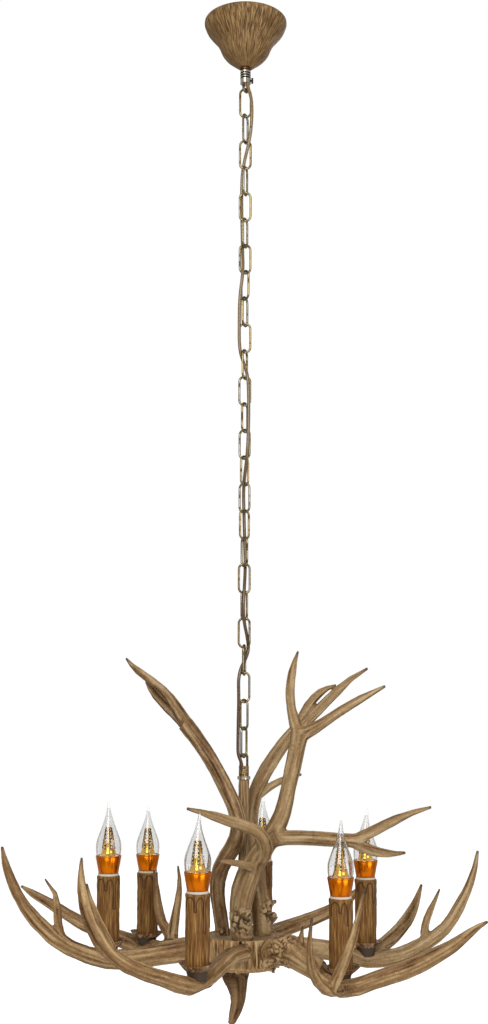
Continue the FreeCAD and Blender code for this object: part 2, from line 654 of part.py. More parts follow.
def rod_nuts():
    """Nuts under the plate and on the hub's floor."""
    bore = TIE_ROD_RADIUS + THREAD_CLEARANCE
    under_plate = PLATE_TOP - PLATE_THICKNESS - ROD_NUT_HEIGHT
    on_floor = HUB_BOTTOM + HUB_FLOOR
    nuts = [hex_nut(ROD_NUT_FLATS, bore, z, ROD_NUT_HEIGHT) for z in (under_plate, on_floor)]
    return Part.makeCompound(nuts)


# ---- hub ----
def hub():
    """Ridged bark drum, hollow under its plate, with a tapered root edge."""
    ridges = ring_points(HUB_RIDGES, HUB_RADIUS, HUB_BOTTOM, radius_between=HUB_RADIUS - HUB_RIDGE_DEPTH)
    drum = prism(ridges, HUB_HEIGHT)
    wide = HUB_RADIUS + CUT_MARGIN
    taper = Part.makeCone(HUB_RADIUS - HUB_EDGE_TAPER, wide, HUB_EDGE_TAPER, Vector(0, 0, HUB_BOTTOM))
    drum = drum.common(taper.fuse(cylinder(wide, HUB_BOTTOM + HUB_EDGE_TAPER, HUB_TOP)))
    drum = drum.fuse([root_spur(number) for number in range(HUB_ROOTS)])
    chamber = cylinder(HUB_RADIUS - HUB_WALL, HUB_BOTTOM + HUB_FLOOR, PLATE_TOP - PLATE_THICKNESS)
    recess = cylinder(HUB_RADIUS - HUB_WALL / 2, PLATE_TOP - PLATE_THICKNESS, HUB_TOP)
    rod = cylinder(TIE_ROD_RADIUS + SLIP_CLEARANCE, HUB_BOTTOM, HUB_BOTTOM + HUB_FLOOR)
    return drum.cut(chamber).cut(recess).cut(rod)


def root_spur(number):
    """One short root that leans out of the hub's lower edge."""
    length = HUB_ROOT_LENGTHS[number % len(HUB_ROOT_LENGTHS)]
    lean = math.radians(HUB_ROOT_LEAN)
    start = Vector(HUB_ROOT_REACH - HUB_ROOT_RADIUS, 0, HUB_BOTTOM + HUB_ROOT_RADIUS)
    spur = Part.makeCone(HUB_ROOT_RADIUS, HUB_ROOT_TIP_RADIUS, length, start,
                         Vector(math.sin(lean), 0, -math.cos(lean)))
    return turned(0, 0, 360 * number / HUB_ROOTS, spur)


def hub_plate():
    """Dark steel disc let into the drum's top."""
    return tube(HUB_RADIUS - HUB_WALL / 2 - SEAT_CLEARANCE, TIE_ROD_RADIUS + SLIP_CLEARANCE,
                PLATE_TOP - PLATE_THICKNESS, PLATE_TOP)


def finial():
    """Bent root-like drop under the hub."""
    drop = limb([(x, y, HUB_BOTTOM + z, diameter) for x, y, z, diameter in FINIAL])
    above = cylinder(HUB_RADIUS, HUB_BOTTOM, HUB_BOTTOM + HUB_HEIGHT)
    rod = cylinder(TIE_ROD_RADIUS + THREAD_CLEARANCE, HUB_BOTTOM - TIE_ROD_IN_FINIAL, HUB_BOTTOM)
    return main_solid(drop.cut(above).cut(rod))


# ---- candles ----
def candle_place(name):
    """Axis and top level of a candle's sleeve."""
    azimuth, reach, rise = CANDLES[name]
    angle = math.radians(azimuth)
    return reach * math.sin(angle), -reach * math.cos(angle), CANDLE_LEVEL + rise


def drip(number, x, y, top):
    """One run of wax down a sleeve: a strip with a round end, wrapped on the tube."""
    width = DRIP_WIDTHS[number]
    straight = DRIP_LENGTHS[number] - width / 2
    strip = Part.makeBox(SLEEVE_RADIUS, width, straight, Vector(x, y - width / 2, top - straight))
    end = Part.makeCylinder(width / 2, SLEEVE_RADIUS, Vector(x, y, top - straight), Vector(1, 0, 0))
    skin = cylinder(SLEEVE_RADIUS + DRIP_THICKNESS, top - SLEEVE_HEIGHT, top, x, y)
    return turned(x, y, 360 * number / DRIP_COUNT, strip.fuse(end).common(skin))


def sleeve(name):
    """Bark-look candle tube, gently fluted, with runs of wax from its top."""
    x, y, top = candle_place(name)
    bottom = top - SLEEVE_HEIGHT
    flutes = ring_points(SLEEVE_SIDES, SLEEVE_RADIUS, bottom, x, y, SLEEVE_RADIUS - SLEEVE_FLUTE_DEPTH)
    wax = [drip(number, x, y, top) for number in range(DRIP_COUNT)]
    outside = prism(flutes, SLEEVE_HEIGHT).fuse(wax)
    bore = prism(ring_points(SLEEVE_SIDES, SLEEVE_BORE_RADIUS, bottom, x, y), SLEEVE_HEIGHT)
    return turned(x, y, CANDLES[name][0] + DRIP_TURN, main_solid(outside.cut(bore)))


def pan(name):
    """Leafy bark dish with raised pointed lips under a sleeve."""
    x, y, top = candle_place(name)
    floor = top - SLEEVE_HEIGHT
    foot = floor - PAN_FLOOR
    rim = foot + PAN_HEIGHT
    inner = PAN_RADIUS - PAN_WALL / 2
    seat = SLEEVE_RADIUS + PAN_WALL / 2
    lips = outline(ring_points(PAN_LIPS, PAN_RADIUS, rim, x, y, PAN_RADIUS - PAN_LIP_DEPTH))
    base = outline(ring_points(PAN_LIPS, PAN_FOOT_RADIUS, foot, x, y, PAN_FOOT_RADIUS - PAN_FOOT_DEPTH))
    inner_lips = outline(ring_points(PAN_LIPS, inner, rim, x, y, inner - PAN_LIP_DEPTH))
    inner_base = outline(ring_points(PAN_LIPS, seat, floor, x, y, seat - PAN_FOOT_DEPTH / 2))
    dish = Part.makeLoft([base, lips], True, True).cut(Part.makeLoft([inner_base, inner_lips], True, True))
    dish = dish.cut(cylinder(CANDLE_BOLT_RADIUS + SLIP_CLEARANCE, foot, floor, x, y))
    return turned(x, y, CANDLES[name][0], dish)


def cup(name):
    """Dark tapered cup between a pan and its antler."""
    x, y, top = candle_place(name)
    foot = top - SLEEVE_HEIGHT - PAN_FLOOR
    body = Part.makeCone(CUP_FOOT_RADIUS, CUP_RADIUS, CUP_HEIGHT, Vector(x, y, foot - CUP_HEIGHT))
    return body.cut(cylinder(CANDLE_BOLT_RADIUS + SLIP_CLEARANCE, foot - CUP_HEIGHT, foot, x, y))


def candle_bolt(name):
    """Bolt that holds a pan and cup down on the antler."""
    x, y, top = candle_place(name)
    floor = top - SLEEVE_HEIGHT
    end = floor - PAN_FLOOR - CUP_HEIGHT - CANDLE_BOLT_IN_BEAM
    shank = cylinder(CANDLE_BOLT_RADIUS, end, floor + CANDLE_BOLT_HEAD_HEIGHT / 2, x, y)
    return shank.fuse(cylinder(CANDLE_BOLT_HEAD_RADIUS, floor, floor + CANDLE_BOLT_HEAD_HEIGHT, x, y))


def lampholder(name):
    """Lampholder with a pale rim on the sleeve's top and a bore for the bulb's cap."""
    x, y, top = candle_place(name)
    body = cylinder(HOLDER_RADIUS, top - HOLDER_DEPTH, top + HOLDER_RIM_HEIGHT / 2, x, y)
    body = body.fuse(cylinder(HOLDER_RIM_RADIUS, top, top + HOLDER_RIM_HEIGHT, x, y))
    bore_floor = top - HOLDER_DEPTH + HOLDER_FLOOR
    return body.cut(cylinder(HOLDER_BORE_RADIUS, bore_floor, top + HOLDER_RIM_HEIGHT, x, y))


def bulb_base(name):
    """Screw cap, tapered metal collar and the light column inside the glass."""
    x, y, top = candle_place(name)
    foot = top + HOLDER_RIM_HEIGHT + BULB_GAP
    crown = foot + BULB_COLLAR_HEIGHT
    column_sides = BULB_SIDES // 2
    cone_foot = BULB_COLLAR_FOOT_RADIUS - GLASS_WALL
    cap = prism(ring_points(BULB_SIDES, CAP_RADIUS, foot - CAP_LENGTH, x, y), CAP_LENGTH + BULB_JOINT_DEPTH)
    collar = Part.makeLoft([
        outline(ring_points(BULB_SIDES, BULB_COLLAR_FOOT_RADIUS, foot, x, y)),
        outline(ring_points(BULB_SIDES, BULB_COLLAR_RADIUS, crown, x, y)),
    ], True, True)
    cone = Part.makeLoft([
        outline(ring_points(BULB_SIDES, cone_foot, crown - BULB_JOINT_DEPTH, x, y)),
        outline(ring_points(BULB_SIDES, LED_COLUMN_FOOT_RADIUS, crown + LED_CONE_HEIGHT, x, y)),
    ], True, True)
    column = Part.makeLoft([
        outline(ring_points(column_sides, LED_COLUMN_FOOT_RADIUS, crown, x, y)),
        outline(ring_points(column_sides, LED_COLUMN_TOP_RADIUS, crown + LED_COLUMN_HEIGHT, x, y)),
    ], True, True)
    return cap.fuse([collar, cone, column]).removeSplitter()


def glass_form(name, inset):
    """Flame-shaped envelope with a leaning tip, or the same form set in by the wall."""
    x, y, top = candle_place(name)
    crown = top + HOLDER_RIM_HEIGHT + BULB_GAP + BULB_COLLAR_HEIGHT
    tip = GLASS_OUTLINE[-1][0]
    wires = []
    for height, diameter in GLASS_OUTLINE:
        radius = diameter / 2 - inset
        if radius <= GLASS_CLOSED_RADIUS:
            continue
        share = max(0.0, height - GLASS_LEAN_START) / (tip - GLASS_LEAN_START)
        lean = GLASS_TIP_LEAN * share ** 2
        wires.append(outline(ring_points(BULB_SIDES, radius, crown + height, x + lean, y)))
    return Part.makeLoft(wires, True, True)


def bulb_glass(name):
    """Clear envelope standing on the metal collar."""
    return glass_form(name, 0.0).cut(glass_form(name, GLASS_WALL))


# ---- antlers ----
def lower_antler(name):
    """Antler under one candle, cut to seat on the hub and to carry the candle."""
    azimuth = math.radians(CANDLES[name][0])
    out = Vector(math.sin(azimuth), -math.cos(azimuth), 0)
    side = Vector(math.cos(azimuth), math.sin(azimuth), 0)
    x, y, top = candle_place(name)
    foot = Vector(x, y, top - SLEEVE_HEIGHT - PAN_FLOOR)
    limbs = []
    for points in LOWER_ANTLERS[name]:
        placed = [foot + out * u + side * v + Vector(0, 0, w) for u, v, w, _ in points]
        limbs.append([(p.x, p.y, p.z, entry[3]) for p, entry in zip(placed, points)])
    solid = branch(limbs)
    drum = cylinder(HUB_RADIUS + SEAT_CLEARANCE, HUB_BOTTOM - HUB_HEIGHT, HUB_TOP + HUB_HEIGHT)
    seat = Part.makeCone(CUP_FOOT_RADIUS + SEAT_CLEARANCE, CUP_RADIUS + SEAT_CLEARANCE, CUP_HEIGHT,
                         Vector(x, y, foot.z - CUP_HEIGHT))
    above = cylinder(PAN_RADIUS + CUT_MARGIN, foot.z, foot.z + PAN_HEIGHT, x, y)
    bolt_end = foot.z - CUP_HEIGHT - CANDLE_BOLT_IN_BEAM
    bolt = cylinder(CANDLE_BOLT_RADIUS + THREAD_CLEARANCE, bolt_end, foot.z, x, y)
    return main_solid(solid.cut(drum).cut(seat).cut(above).cut(bolt))


def upper_antler(name):
    """Antler standing on the hub's plate."""
    limbs = [[(x, y, PLATE_TOP + z, diameter) for x, y, z, diameter in points] for points in UPPER_ANTLERS[name]]
    below = cylinder(HUB_RADIUS, HUB_BOTTOM, PLATE_TOP)
    return main_solid(branch(limbs).cut(below))


def main():
    """Build every piece and write one file per piece."""
    pieces = {
        "canopy": canopy(),
        "ceiling_bracket": ceiling_bracket(),
        "nipple": nipple(),
        "nipple_nuts": nipple_nuts(),
        "lock_nut": lock_nut(),
        "dark_washer": dark_washer(),
        "cord_grip": cord_grip(),
        "thumb_screw": thumb_screw(),
        "canopy_loop": bow(LOOP_AXIS, COLLAR_BOTTOM + LOOP_WIRE, LOOP_HALF_WIDTH, LOOP_WIRE, LOOP_TURN),
        "chain_link_first": chain_link(0),
        "chain_links": Part.makeCompound([chain_link(index) for index in range(1, LINK_COUNT - 1)]),
        "chain_link_last": chain_link(LINK_COUNT - 1),
        "stem_eye": bow(EYE_AXIS, FITTING_TOP - EYE_WIRE, EYE_HALF_WIDTH, EYE_WIRE, EYE_TURN),
        "stem_fitting": stem_fitting(),
        "stem_washer": stem_washer(),
        "stem_tube": stem_tube(),
        "tie_rod": tie_rod(),
        "rod_nuts": rod_nuts(),
        "hub": hub(),
        "hub_plate": hub_plate(),
        "finial": finial(),
        "candle_pans": Part.makeCompound([pan(name) for name in CANDLES]),
        "candle_cups": Part.makeCompound([cup(name) for name in CANDLES]),
        "candle_bolts": Part.makeCompound([candle_bolt(name) for name in CANDLES]),
        "lampholders": Part.makeCompound([lampholder(name) for name in CANDLES]),
    }
    pieces.update(cord_pieces())
    for name in CANDLES:
        pieces["sleeve_" + name] = sleeve(name)
        pieces["bulb_base_" + name] = bulb_base(name)
        pieces["bulb_glass_" + name] = bulb_glass(name)
        pieces["lower_antler_" + name] = lower_antler(name)
    for name in UPPER_ANTLERS:
        pieces["upper_antler_" + name] = upper_antler(name)
    os.makedirs("parts", exist_ok=True)
    for name, shape in pieces.items():
        shape.exportStep("parts/" + name + ".step")
        print(name, len(shape.Solids), round(shape.Volume), shape.isValid())
    print("plate", PLATE_TOP, "hub bottom", HUB_BOTTOM, "candle level", CANDLE_LEVEL)


main()
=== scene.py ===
"""Looks of the six-light antler chandelier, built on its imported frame.

Sizes are in millimetres in the classes and in metres in the meshes.
"""
import logging
import math
from collections.abc import Callable, Sequence
from dataclasses import dataclass
from enum import Enum

import bmesh
import bpy
import numpy as np
from bpy.types import ID, Material, Mesh, Node, NodeSocket, NodeTree, Object
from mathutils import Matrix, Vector


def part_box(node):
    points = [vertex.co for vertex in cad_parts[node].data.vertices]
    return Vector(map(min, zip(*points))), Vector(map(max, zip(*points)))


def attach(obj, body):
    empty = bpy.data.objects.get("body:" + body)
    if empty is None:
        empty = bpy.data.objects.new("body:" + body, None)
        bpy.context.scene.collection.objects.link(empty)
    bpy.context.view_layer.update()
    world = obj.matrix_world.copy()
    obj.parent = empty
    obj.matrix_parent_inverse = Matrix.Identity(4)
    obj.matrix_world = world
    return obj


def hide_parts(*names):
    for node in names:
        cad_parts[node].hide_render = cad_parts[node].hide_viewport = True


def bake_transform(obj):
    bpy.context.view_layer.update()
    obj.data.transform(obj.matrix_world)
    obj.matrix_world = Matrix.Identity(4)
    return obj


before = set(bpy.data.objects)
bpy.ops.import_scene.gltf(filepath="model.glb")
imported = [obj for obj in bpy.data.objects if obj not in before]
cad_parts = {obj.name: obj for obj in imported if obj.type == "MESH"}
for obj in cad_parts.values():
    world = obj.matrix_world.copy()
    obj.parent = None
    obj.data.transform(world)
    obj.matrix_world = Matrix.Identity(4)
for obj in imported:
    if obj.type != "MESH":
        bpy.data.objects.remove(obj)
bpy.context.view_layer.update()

LOG = logging.getLogger("chandelier")
MM = 0.001
TURN = 2 * math.pi

CANDLE_NAMES = ("left", "rear_left", "front_left", "rear_right", "front_right", "right")


# ---------------------------------------------------------------- helpers
def linear(code: str) -> tuple[float, float, float, float]:
    """Turn an sRGB hex colour into Blender's linear colour.

    Args:
        code: colour such as "#8c7352".

    Returns:
        Red, green, blue and alpha.
    """
    parts = [int(code[i:i + 2], 16) / 255 for i in (1, 3, 5)]
    return tuple(c / 12.92 if c <= 0.04045 else ((c + 0.055) / 1.055) ** 2.4 for c in parts) + (1.0,)


def feed(tree: NodeTree, node: Node, inputs: dict) -> None:
    """Set a node's inputs: a socket is linked in, and anything else is the input's value."""
    for key, given in inputs.items():
        if isinstance(given, NodeSocket):
            tree.links.new(given, node.inputs[key])
        else:
            node.inputs[key].default_value = given


def add_node(tree: NodeTree, kind: str, inputs: dict | None = None, **settings: object) -> Node:
    """Add one node.

    Args:
        tree: the shader or geometry tree.
        kind: the node's type name.
        inputs: input name or number -> value or output socket.
        **settings: properties of the node itself.

    Returns:
        The new node.
    """
    node = tree.nodes.new(kind)
    for name, value in settings.items():
        setattr(node, name, value)
    feed(tree, node, inputs or {})
    return node


def calc(tree: NodeTree, operation: str, *terms: float | NodeSocket) -> NodeSocket:
    """Result of a maths node on numbers and sockets."""
    return add_node(tree, "ShaderNodeMath", dict(enumerate(terms)), operation=operation).outputs[0]


def mapped(tree: NodeTree, value: NodeSocket, low: float, high: float,
           first: float = 0.0, last: float = 1.0) -> NodeSocket:
    """Carry the span from low to high over to the span from first to last, and hold it there."""
    spans = {"Value": value, "From Min": low, "From Max": high, "To Min": first, "To Max": last}
    return add_node(tree, "ShaderNodeMapRange", spans).outputs[0]


def ramp(tree: NodeTree, source: NodeSocket, stops: Sequence[tuple[float, str]]) -> NodeSocket:
    """Colour ramp over (position, hex colour) stops."""
    node = add_node(tree, "ShaderNodeValToRGB", {"Fac": source})
    elements = node.color_ramp.elements
    while len(elements) < len(stops):
        elements.new(0.5)
    for element, (position, code) in zip(elements, stops):
        element.position = position
        element.color = linear(code)
    return node.outputs["Color"]


def attribute(tree: NodeTree, name: str, output: str = "Fac") -> NodeSocket:
    """A mesh attribute's output."""
    return add_node(tree, "ShaderNodeAttribute", attribute_name=name).outputs[output]


def own_place(tree: NodeTree) -> NodeSocket:
    """The piece's Object coordinates, in metres."""
    return add_node(tree, "ShaderNodeTexCoord").outputs["Object"]


def noise(tree: NodeTree, place: NodeSocket, size: float, detail: float) -> NodeSocket:
    """Noise whose cells are about size millimetres wide on a vector in metres."""
    return add_node(tree, "ShaderNodeTexNoise", {"Vector": place, "Scale": 1.0 / (size * MM),
                                                 "Detail": detail, "Roughness": 0.6}).outputs["Fac"]


def mixed(tree: NodeTree, factor: NodeSocket, below: NodeSocket | tuple, over: str) -> NodeSocket:
    """Colour mix of a hex colour over another colour."""
    return add_node(tree, "ShaderNodeMix", {0: factor, 6: below, 7: linear(over)},
                    data_type="RGBA").outputs[2]


def bump(tree: NodeTree, surface: Node, height: NodeSocket, strength: float, depth: float) -> None:
    """Relief of the given depth in millimetres on a surface shader."""
    node = add_node(tree, "ShaderNodeBump", {"Height": height, "Strength": strength, "Distance": depth * MM})
    feed(tree, surface, {"Normal": node.outputs[0]})


def new_material(name: str) -> Material:
    """Empty node material."""
    made = bpy.data.materials.new(name)
    made.use_nodes = True
    made.node_tree.nodes.clear()
    return made


def link_object(data: ID, name: str) -> Object:
    """Put a mesh, curve, camera or light into the scene as an object at the origin."""
    obj = bpy.data.objects.new(name, data)
    bpy.context.scene.collection.objects.link(obj)
    return obj


def foot_of(node: str, rise: float = 0.0) -> tuple[float, float, float]:
    """Middle of a CAD node's foot in metres, raised by rise millimetres."""
    low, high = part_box(node)
    return (low.x + high.x) / 2, (low.y + high.y) / 2, low.z + rise * MM


def plain_mesh(name: str, points: Sequence, faces: Sequence = ()) -> Mesh:
    """Mesh from points in metres and faces, as given."""
    mesh = bpy.data.meshes.new(name)
    mesh.from_pydata([tuple(p) for p in points], [], faces)
    return mesh


def clean(mesh: Mesh, near: float, outward: bool = False) -> None:
    """Join points nearer than near, in metres, and turn the normals outward if asked."""
    shape = bmesh.new()
    shape.from_mesh(mesh)
    bmesh.ops.remove_doubles(shape, verts=shape.verts, dist=near)
    if outward:
        bmesh.ops.recalc_face_normals(shape, faces=shape.faces)
    shape.to_mesh(mesh)
    shape.free()


def shade(mesh: Mesh, smooth: bool = True) -> None:
    """Shade triangles and quads smoothly or flat; a face with more corners is flat."""
    mesh.polygons.foreach_set("use_smooth", [smooth and face.loop_total < 5 for face in mesh.polygons])


def mesh_from(name: str, points: Sequence, faces: list, smooth: bool = True, **values: np.ndarray) -> Mesh:
    """Mesh from points in metres and faces, with outward normals.

    Args:
        name: the mesh's name.
        points: one row for each vertex.
        faces: vertex numbers of each face.
        smooth: whether its triangles and quads shade smoothly.
        **values: attribute name -> a number or a vector for each vertex.

    Returns:
        The mesh.
    """
    mesh = plain_mesh(name, points, faces)
    for label, numbers in values.items():
        set_attribute(mesh, label, numbers)
    clean(mesh, 1e-7, True)
    shade(mesh, smooth)
    return mesh


def grid(rows: int, columns: int, closed: bool = False) -> list[tuple[int, ...]]:
    """Quads between rings of points.

    Args:
        rows: how many rings.
        columns: points in a ring.
        closed: whether the last ring joins the first.

    Returns:
        The faces.
    """
    faces = []
    for row in range(rows if closed else rows - 1):
        a, b = row * columns, (row + 1) % rows * columns
        faces += [(a + k, a + (k + 1) % columns, b + (k + 1) % columns, b + k) for k in range(columns)]
    return faces


def baked(obj: Object) -> Mesh:
    """Plain mesh of an object with its modifiers applied; the modifiers are removed."""
    evaluated = obj.evaluated_get(bpy.context.evaluated_depsgraph_get())
    mesh = bpy.data.meshes.new_from_object(evaluated)
    obj.modifiers.clear()
    return mesh


def set_attribute(mesh: Mesh, name: str, values: np.ndarray) -> None:
    """Store a number or a vector at each vertex."""
    kind, field = ("FLOAT", "value") if values.ndim == 1 else ("FLOAT_VECTOR", "vector")
    layer = mesh.attributes.new(name, kind, "POINT")
    layer.data.foreach_set(field, np.ascontiguousarray(values, np.float32).ravel())


def vectors(rows: Sequence, field: str) -> np.ndarray:
    """A vector field of Blender's rows as an array."""
    values = np.zeros(len(rows) * 3, np.float32)
    rows.foreach_get(field, values)
    return values.reshape(-1, 3).astype(float)


def coordinates(mesh: Mesh) -> np.ndarray:
    """Vertex places, one row each."""
    return vectors(mesh.vertices, "co")


def move_to(mesh: Mesh, points: np.ndarray) -> None:
    """Move the vertices."""
    mesh.vertices.foreach_set("co", points.astype(np.float32).ravel())
    mesh.update()


def normals_of(mesh: Mesh) -> np.ndarray:
    """Vertex normals, one row each."""
    return vectors(mesh.vertex_normals, "vector")


def wavy(points: np.ndarray, size: float, seed: int, count: int = 24) -> np.ndarray:
    """Smooth seeded noise about -1 to 1, a sum of waves in random directions.

    Args:
        points: places in metres.
        size: typical wavelength in metres.
        seed: fixed seed.
        count: how many waves are added.

    Returns:
        One value for each point.
    """
    rng = np.random.default_rng(seed)
    directions = rng.normal(size=(count, 3))
    lengths = np.linalg.norm(directions, axis=1)
    directions *= (TURN / size * rng.uniform(0.6, 1.5, count) / lengths)[:, None]
    phases = rng.uniform(0, TURN, count)
    return np.cos(points @ directions.T + phases).sum(1) / math.sqrt(count)


def lathe(name: str, profile: Sequence[tuple[float, float]], centre: Vector, segments: int = 64,
          lean: tuple[float, float] = (0.0, 0.0), lean_from: float = 0.0) -> Mesh:
    """Turned form round an upright axis.

    Args:
        name: the mesh's name.
        profile: (radius, height) in millimetres, from one end to the other; radius 0 closes an end.
        centre: the axis's foot, in metres.
        segments: how many columns.
        lean: how far the top leans right and back, in millimetres.
        lean_from: height where the lean starts.

    Returns:
        The mesh, with the attribute round = (cosine, sine, height in metres).
    """
    top = max(height for _, height in profile)
    points = []
    rounds = []
    for radius, height in profile:
        share = max(0.0, (height - lean_from) / (top - lean_from)) if any(lean) else 0.0
        for k in range(segments):
            c, s = math.cos(TURN * k / segments), math.sin(TURN * k / segments)
            points.append((centre.x + (radius * c + lean[0] * share ** 2) * MM,
                           centre.y + (radius * s + lean[1] * share ** 2) * MM, centre.z + height * MM))
            rounds.append((c, s, height * MM))
    return mesh_from(name, points, grid(len(profile), segments), round=np.array(rounds))


def rounded_profile(corners: Sequence[tuple[float, float]], steps: int = 6) -> tuple[tuple[float, float], ...]:
    """Smooth curve through (radius, height) points, with evenly spread steps between them."""
    points = [Vector((r, h)) for r, h in corners]
    smooth = []
    for i, (a, b) in enumerate(zip(points, points[1:])):
        before = points[max(i - 1, 0)]
        after = points[min(i + 2, len(points) - 1)]
        for t in (k / steps for k in range(steps)):
            place = 0.5 * ((2 * a) + (b - before) * t + (2 * before - 5 * a + 4 * b - after) * t ** 2
                           + (3 * a - before - 3 * b + after) * t ** 3)
            smooth.append((max(place.x, 0.0), place.y))
    return tuple(smooth) + (tuple(points[-1]),)


def placing_tree(name: str, inputs: dict[str, str],
                 shape: Callable[[NodeTree, object], NodeSocket]) -> NodeTree:
    """Geometry node tree, made once, that sets a shape at each point with the point's turn.

    Args:
        name: the tree's name.
        inputs: name -> socket type of each input besides the points and the material.
        shape: adds the shape's nodes to the tree, from the tree and its given inputs.

    Returns:
        The tree.
    """
    found = bpy.data.node_groups.get(name)
    if found:
        return found
    tree = bpy.data.node_groups.new(name, "GeometryNodeTree")
    wanted = {"Geometry": "NodeSocketGeometry", **inputs, "Material": "NodeSocketMaterial"}
    for label, kind in wanted.items():
        tree.interface.new_socket(name=label, in_out="INPUT", socket_type=kind)
    tree.interface.new_socket(name="Geometry", in_out="OUTPUT", socket_type="NodeSocketGeometry")
    given = add_node(tree, "NodeGroupInput").outputs
    turn = add_node(tree, "GeometryNodeInputNamedAttribute", {"Name": "turn"}, data_type="FLOAT_VECTOR")
    spin = add_node(tree, "FunctionNodeEulerToRotation", {0: turn.outputs["Attribute"]})
    copies = add_node(tree, "GeometryNodeInstanceOnPoints",
                      {"Points": given["Geometry"], "Instance": shape(tree, given),
                       "Rotation": spin.outputs[0]})
    real = add_node(tree, "GeometryNodeRealizeInstances", {0: copies.outputs[0]})
    painted = add_node(tree, "GeometryNodeSetMaterial",
                       {"Geometry": real.outputs[0], "Material": given["Material"]})
    add_node(tree, "NodeGroupOutput", {"Geometry": painted.outputs[0]})
    return tree


def placed(name: str, places: Sequence, turns: Sequence, tree: NodeTree, finish: "Finish",
           **given: object) -> Mesh:
    """Plain mesh of a placing tree's shape at each place.

    Args:
        name: the mesh's name.
        places: where, in metres.
        turns: each place's turn in radians about the three axes.
        tree: the placing tree.
        finish: the shape's finish.
        **given: input name -> value.

    Returns:
        The mesh.
    """
    mesh = plain_mesh(name, places)
    set_attribute(mesh, "turn", np.array(turns))
    obj = link_object(mesh, name)
    step = obj.modifiers.new(tree.name, "NODES")
    step.node_group = tree
    given["Material"] = finish.material()
    for item in tree.interface.items_tree:
        if item.in_out == "INPUT" and item.name in given:
            step[item.identifier] = given[item.name]
    shape = baked(obj)
    bpy.data.objects.remove(obj)
    return shape


# ---------------------------------------------------------------- finishes
class Thread(Enum):
    """Body pairs that a cord piece lies between, or the one body that it rides on."""

    GRIP_TO_LINK = ("ceiling_mount", "top_link")
    LINK_TO_CHAIN = ("top_link", "chain_run")
    CHAIN = ("chain_run",)
    CHAIN_TO_LINK = ("chain_run", "bottom_link")
    LINK_TO_STEM = ("bottom_link", "chandelier")


@dataclass(frozen=True)
class Finish:
    """A named finish; material() builds it once."""

    name: str

    def material(self) -> Material:
        """The finish's material, built on first use."""
        made = bpy.data.materials.get(self.name)
        if not made:
            made = new_material(self.name)
            surface = add_node(made.node_tree, "ShaderNodeBsdfPrincipled")
            add_node(made.node_tree, "ShaderNodeOutputMaterial", {"Surface": surface.outputs[0]})
            self.paint(made.node_tree, surface)
        return made

    def paint(self, tree: NodeTree, surface: Node) -> None:
        """Set up the surface shader; each finish has its own."""
        raise NotImplementedError


def dress(obj: Object, finish: Finish, body: str, slot: str, *nodes: str) -> Object:
    """Give a finished piece its material and body, and hide the CAD nodes it stands for."""
    obj.data.materials.clear()
    obj.data.materials.append(finish.material())
    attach(obj, body)
    if nodes:
        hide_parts(*nodes)
    LOG.info("%s: %d faces", obj.name, len(obj.data.polygons))
    return obj


def dress_nodes(finish: Finish, *names: str) -> None:
    """Give CAD nodes that stay their material."""
    for name in names:
        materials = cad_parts[name].data.materials
        materials.clear()
        materials.append(finish.material())
        LOG.info("%s keeps its solid", name)


@dataclass(frozen=True)
class CastResin(Finish):
    """Cast polyresin, hand stained and wiped back.

    The stain stays in the grain and the hollows, which gives dark lines under a paler,
    dry-looking surface, and the tips are dipped darker.
    """

    dark: str
    shade: str
    middle: str
    light: str
    stain: str = "#38240f"
    tip: str = "#3f342a"
    contrast: float = 0.6

    def paint(self, tree: NodeTree, surface: Node) -> None:
        """Streaks by the grain attribute, faint clouds and grit by place, stain in hollows, dark tips."""
        grain = attribute(tree, "grain")
        place = own_place(tree)
        # Clouds of about 50 mm where more or less stain was wiped off.
        cloud = noise(tree, place, 50.0, 3.0)
        # Grit of about 3 mm and finer in the cast surface, which mottles the stain.
        grit = noise(tree, place, 3.0, 3.0)
        streak = mapped(tree, grain, -2.5, 2.5, 0.33 - self.contrast / 2, 0.33 + self.contrast / 2)
        clouded = calc(tree, "MULTIPLY_ADD", cloud, 0.16, streak)
        total = calc(tree, "MULTIPLY_ADD", grit, 0.22, clouded)
        colour = ramp(tree, total, ((0.20, self.dark), (0.37, self.shade), (0.54, self.middle),
                                    (0.72, self.light)))
        for amount, over in ((attribute(tree, "hollow"), self.stain), (attribute(tree, "tip"), self.tip),
                             (self.pits(tree, place), self.stain)):
            colour = mixed(tree, amount, colour, over)
        feed(tree, surface, {"Base Color": colour, "Roughness": mapped(tree, cloud, 0, 1, 0.5, 0.72),
                             "Specular IOR Level": 0.25})
        bump(tree, surface, calc(tree, "MULTIPLY_ADD", grain, 0.6, grit), 0.5, 0.35)

    @staticmethod
    def pits(tree: NodeTree, place: NodeSocket) -> NodeSocket:
        """Pits about 2 mm wide that hold dark stain, in three of ten cells about 8 mm wide."""
        cells = add_node(tree, "ShaderNodeTexVoronoi", {"Vector": place, "Scale": 1.0 / (8.0 * MM)})
        near = mapped(tree, cells.outputs["Distance"], 0.07, 0.16, 0.65, 0.0)
        channels = add_node(tree, "ShaderNodeSeparateColor", {0: cells.outputs["Color"]})
        chosen = calc(tree, "LESS_THAN", channels.outputs[0], 0.3)
        return calc(tree, "MULTIPLY", near, chosen)


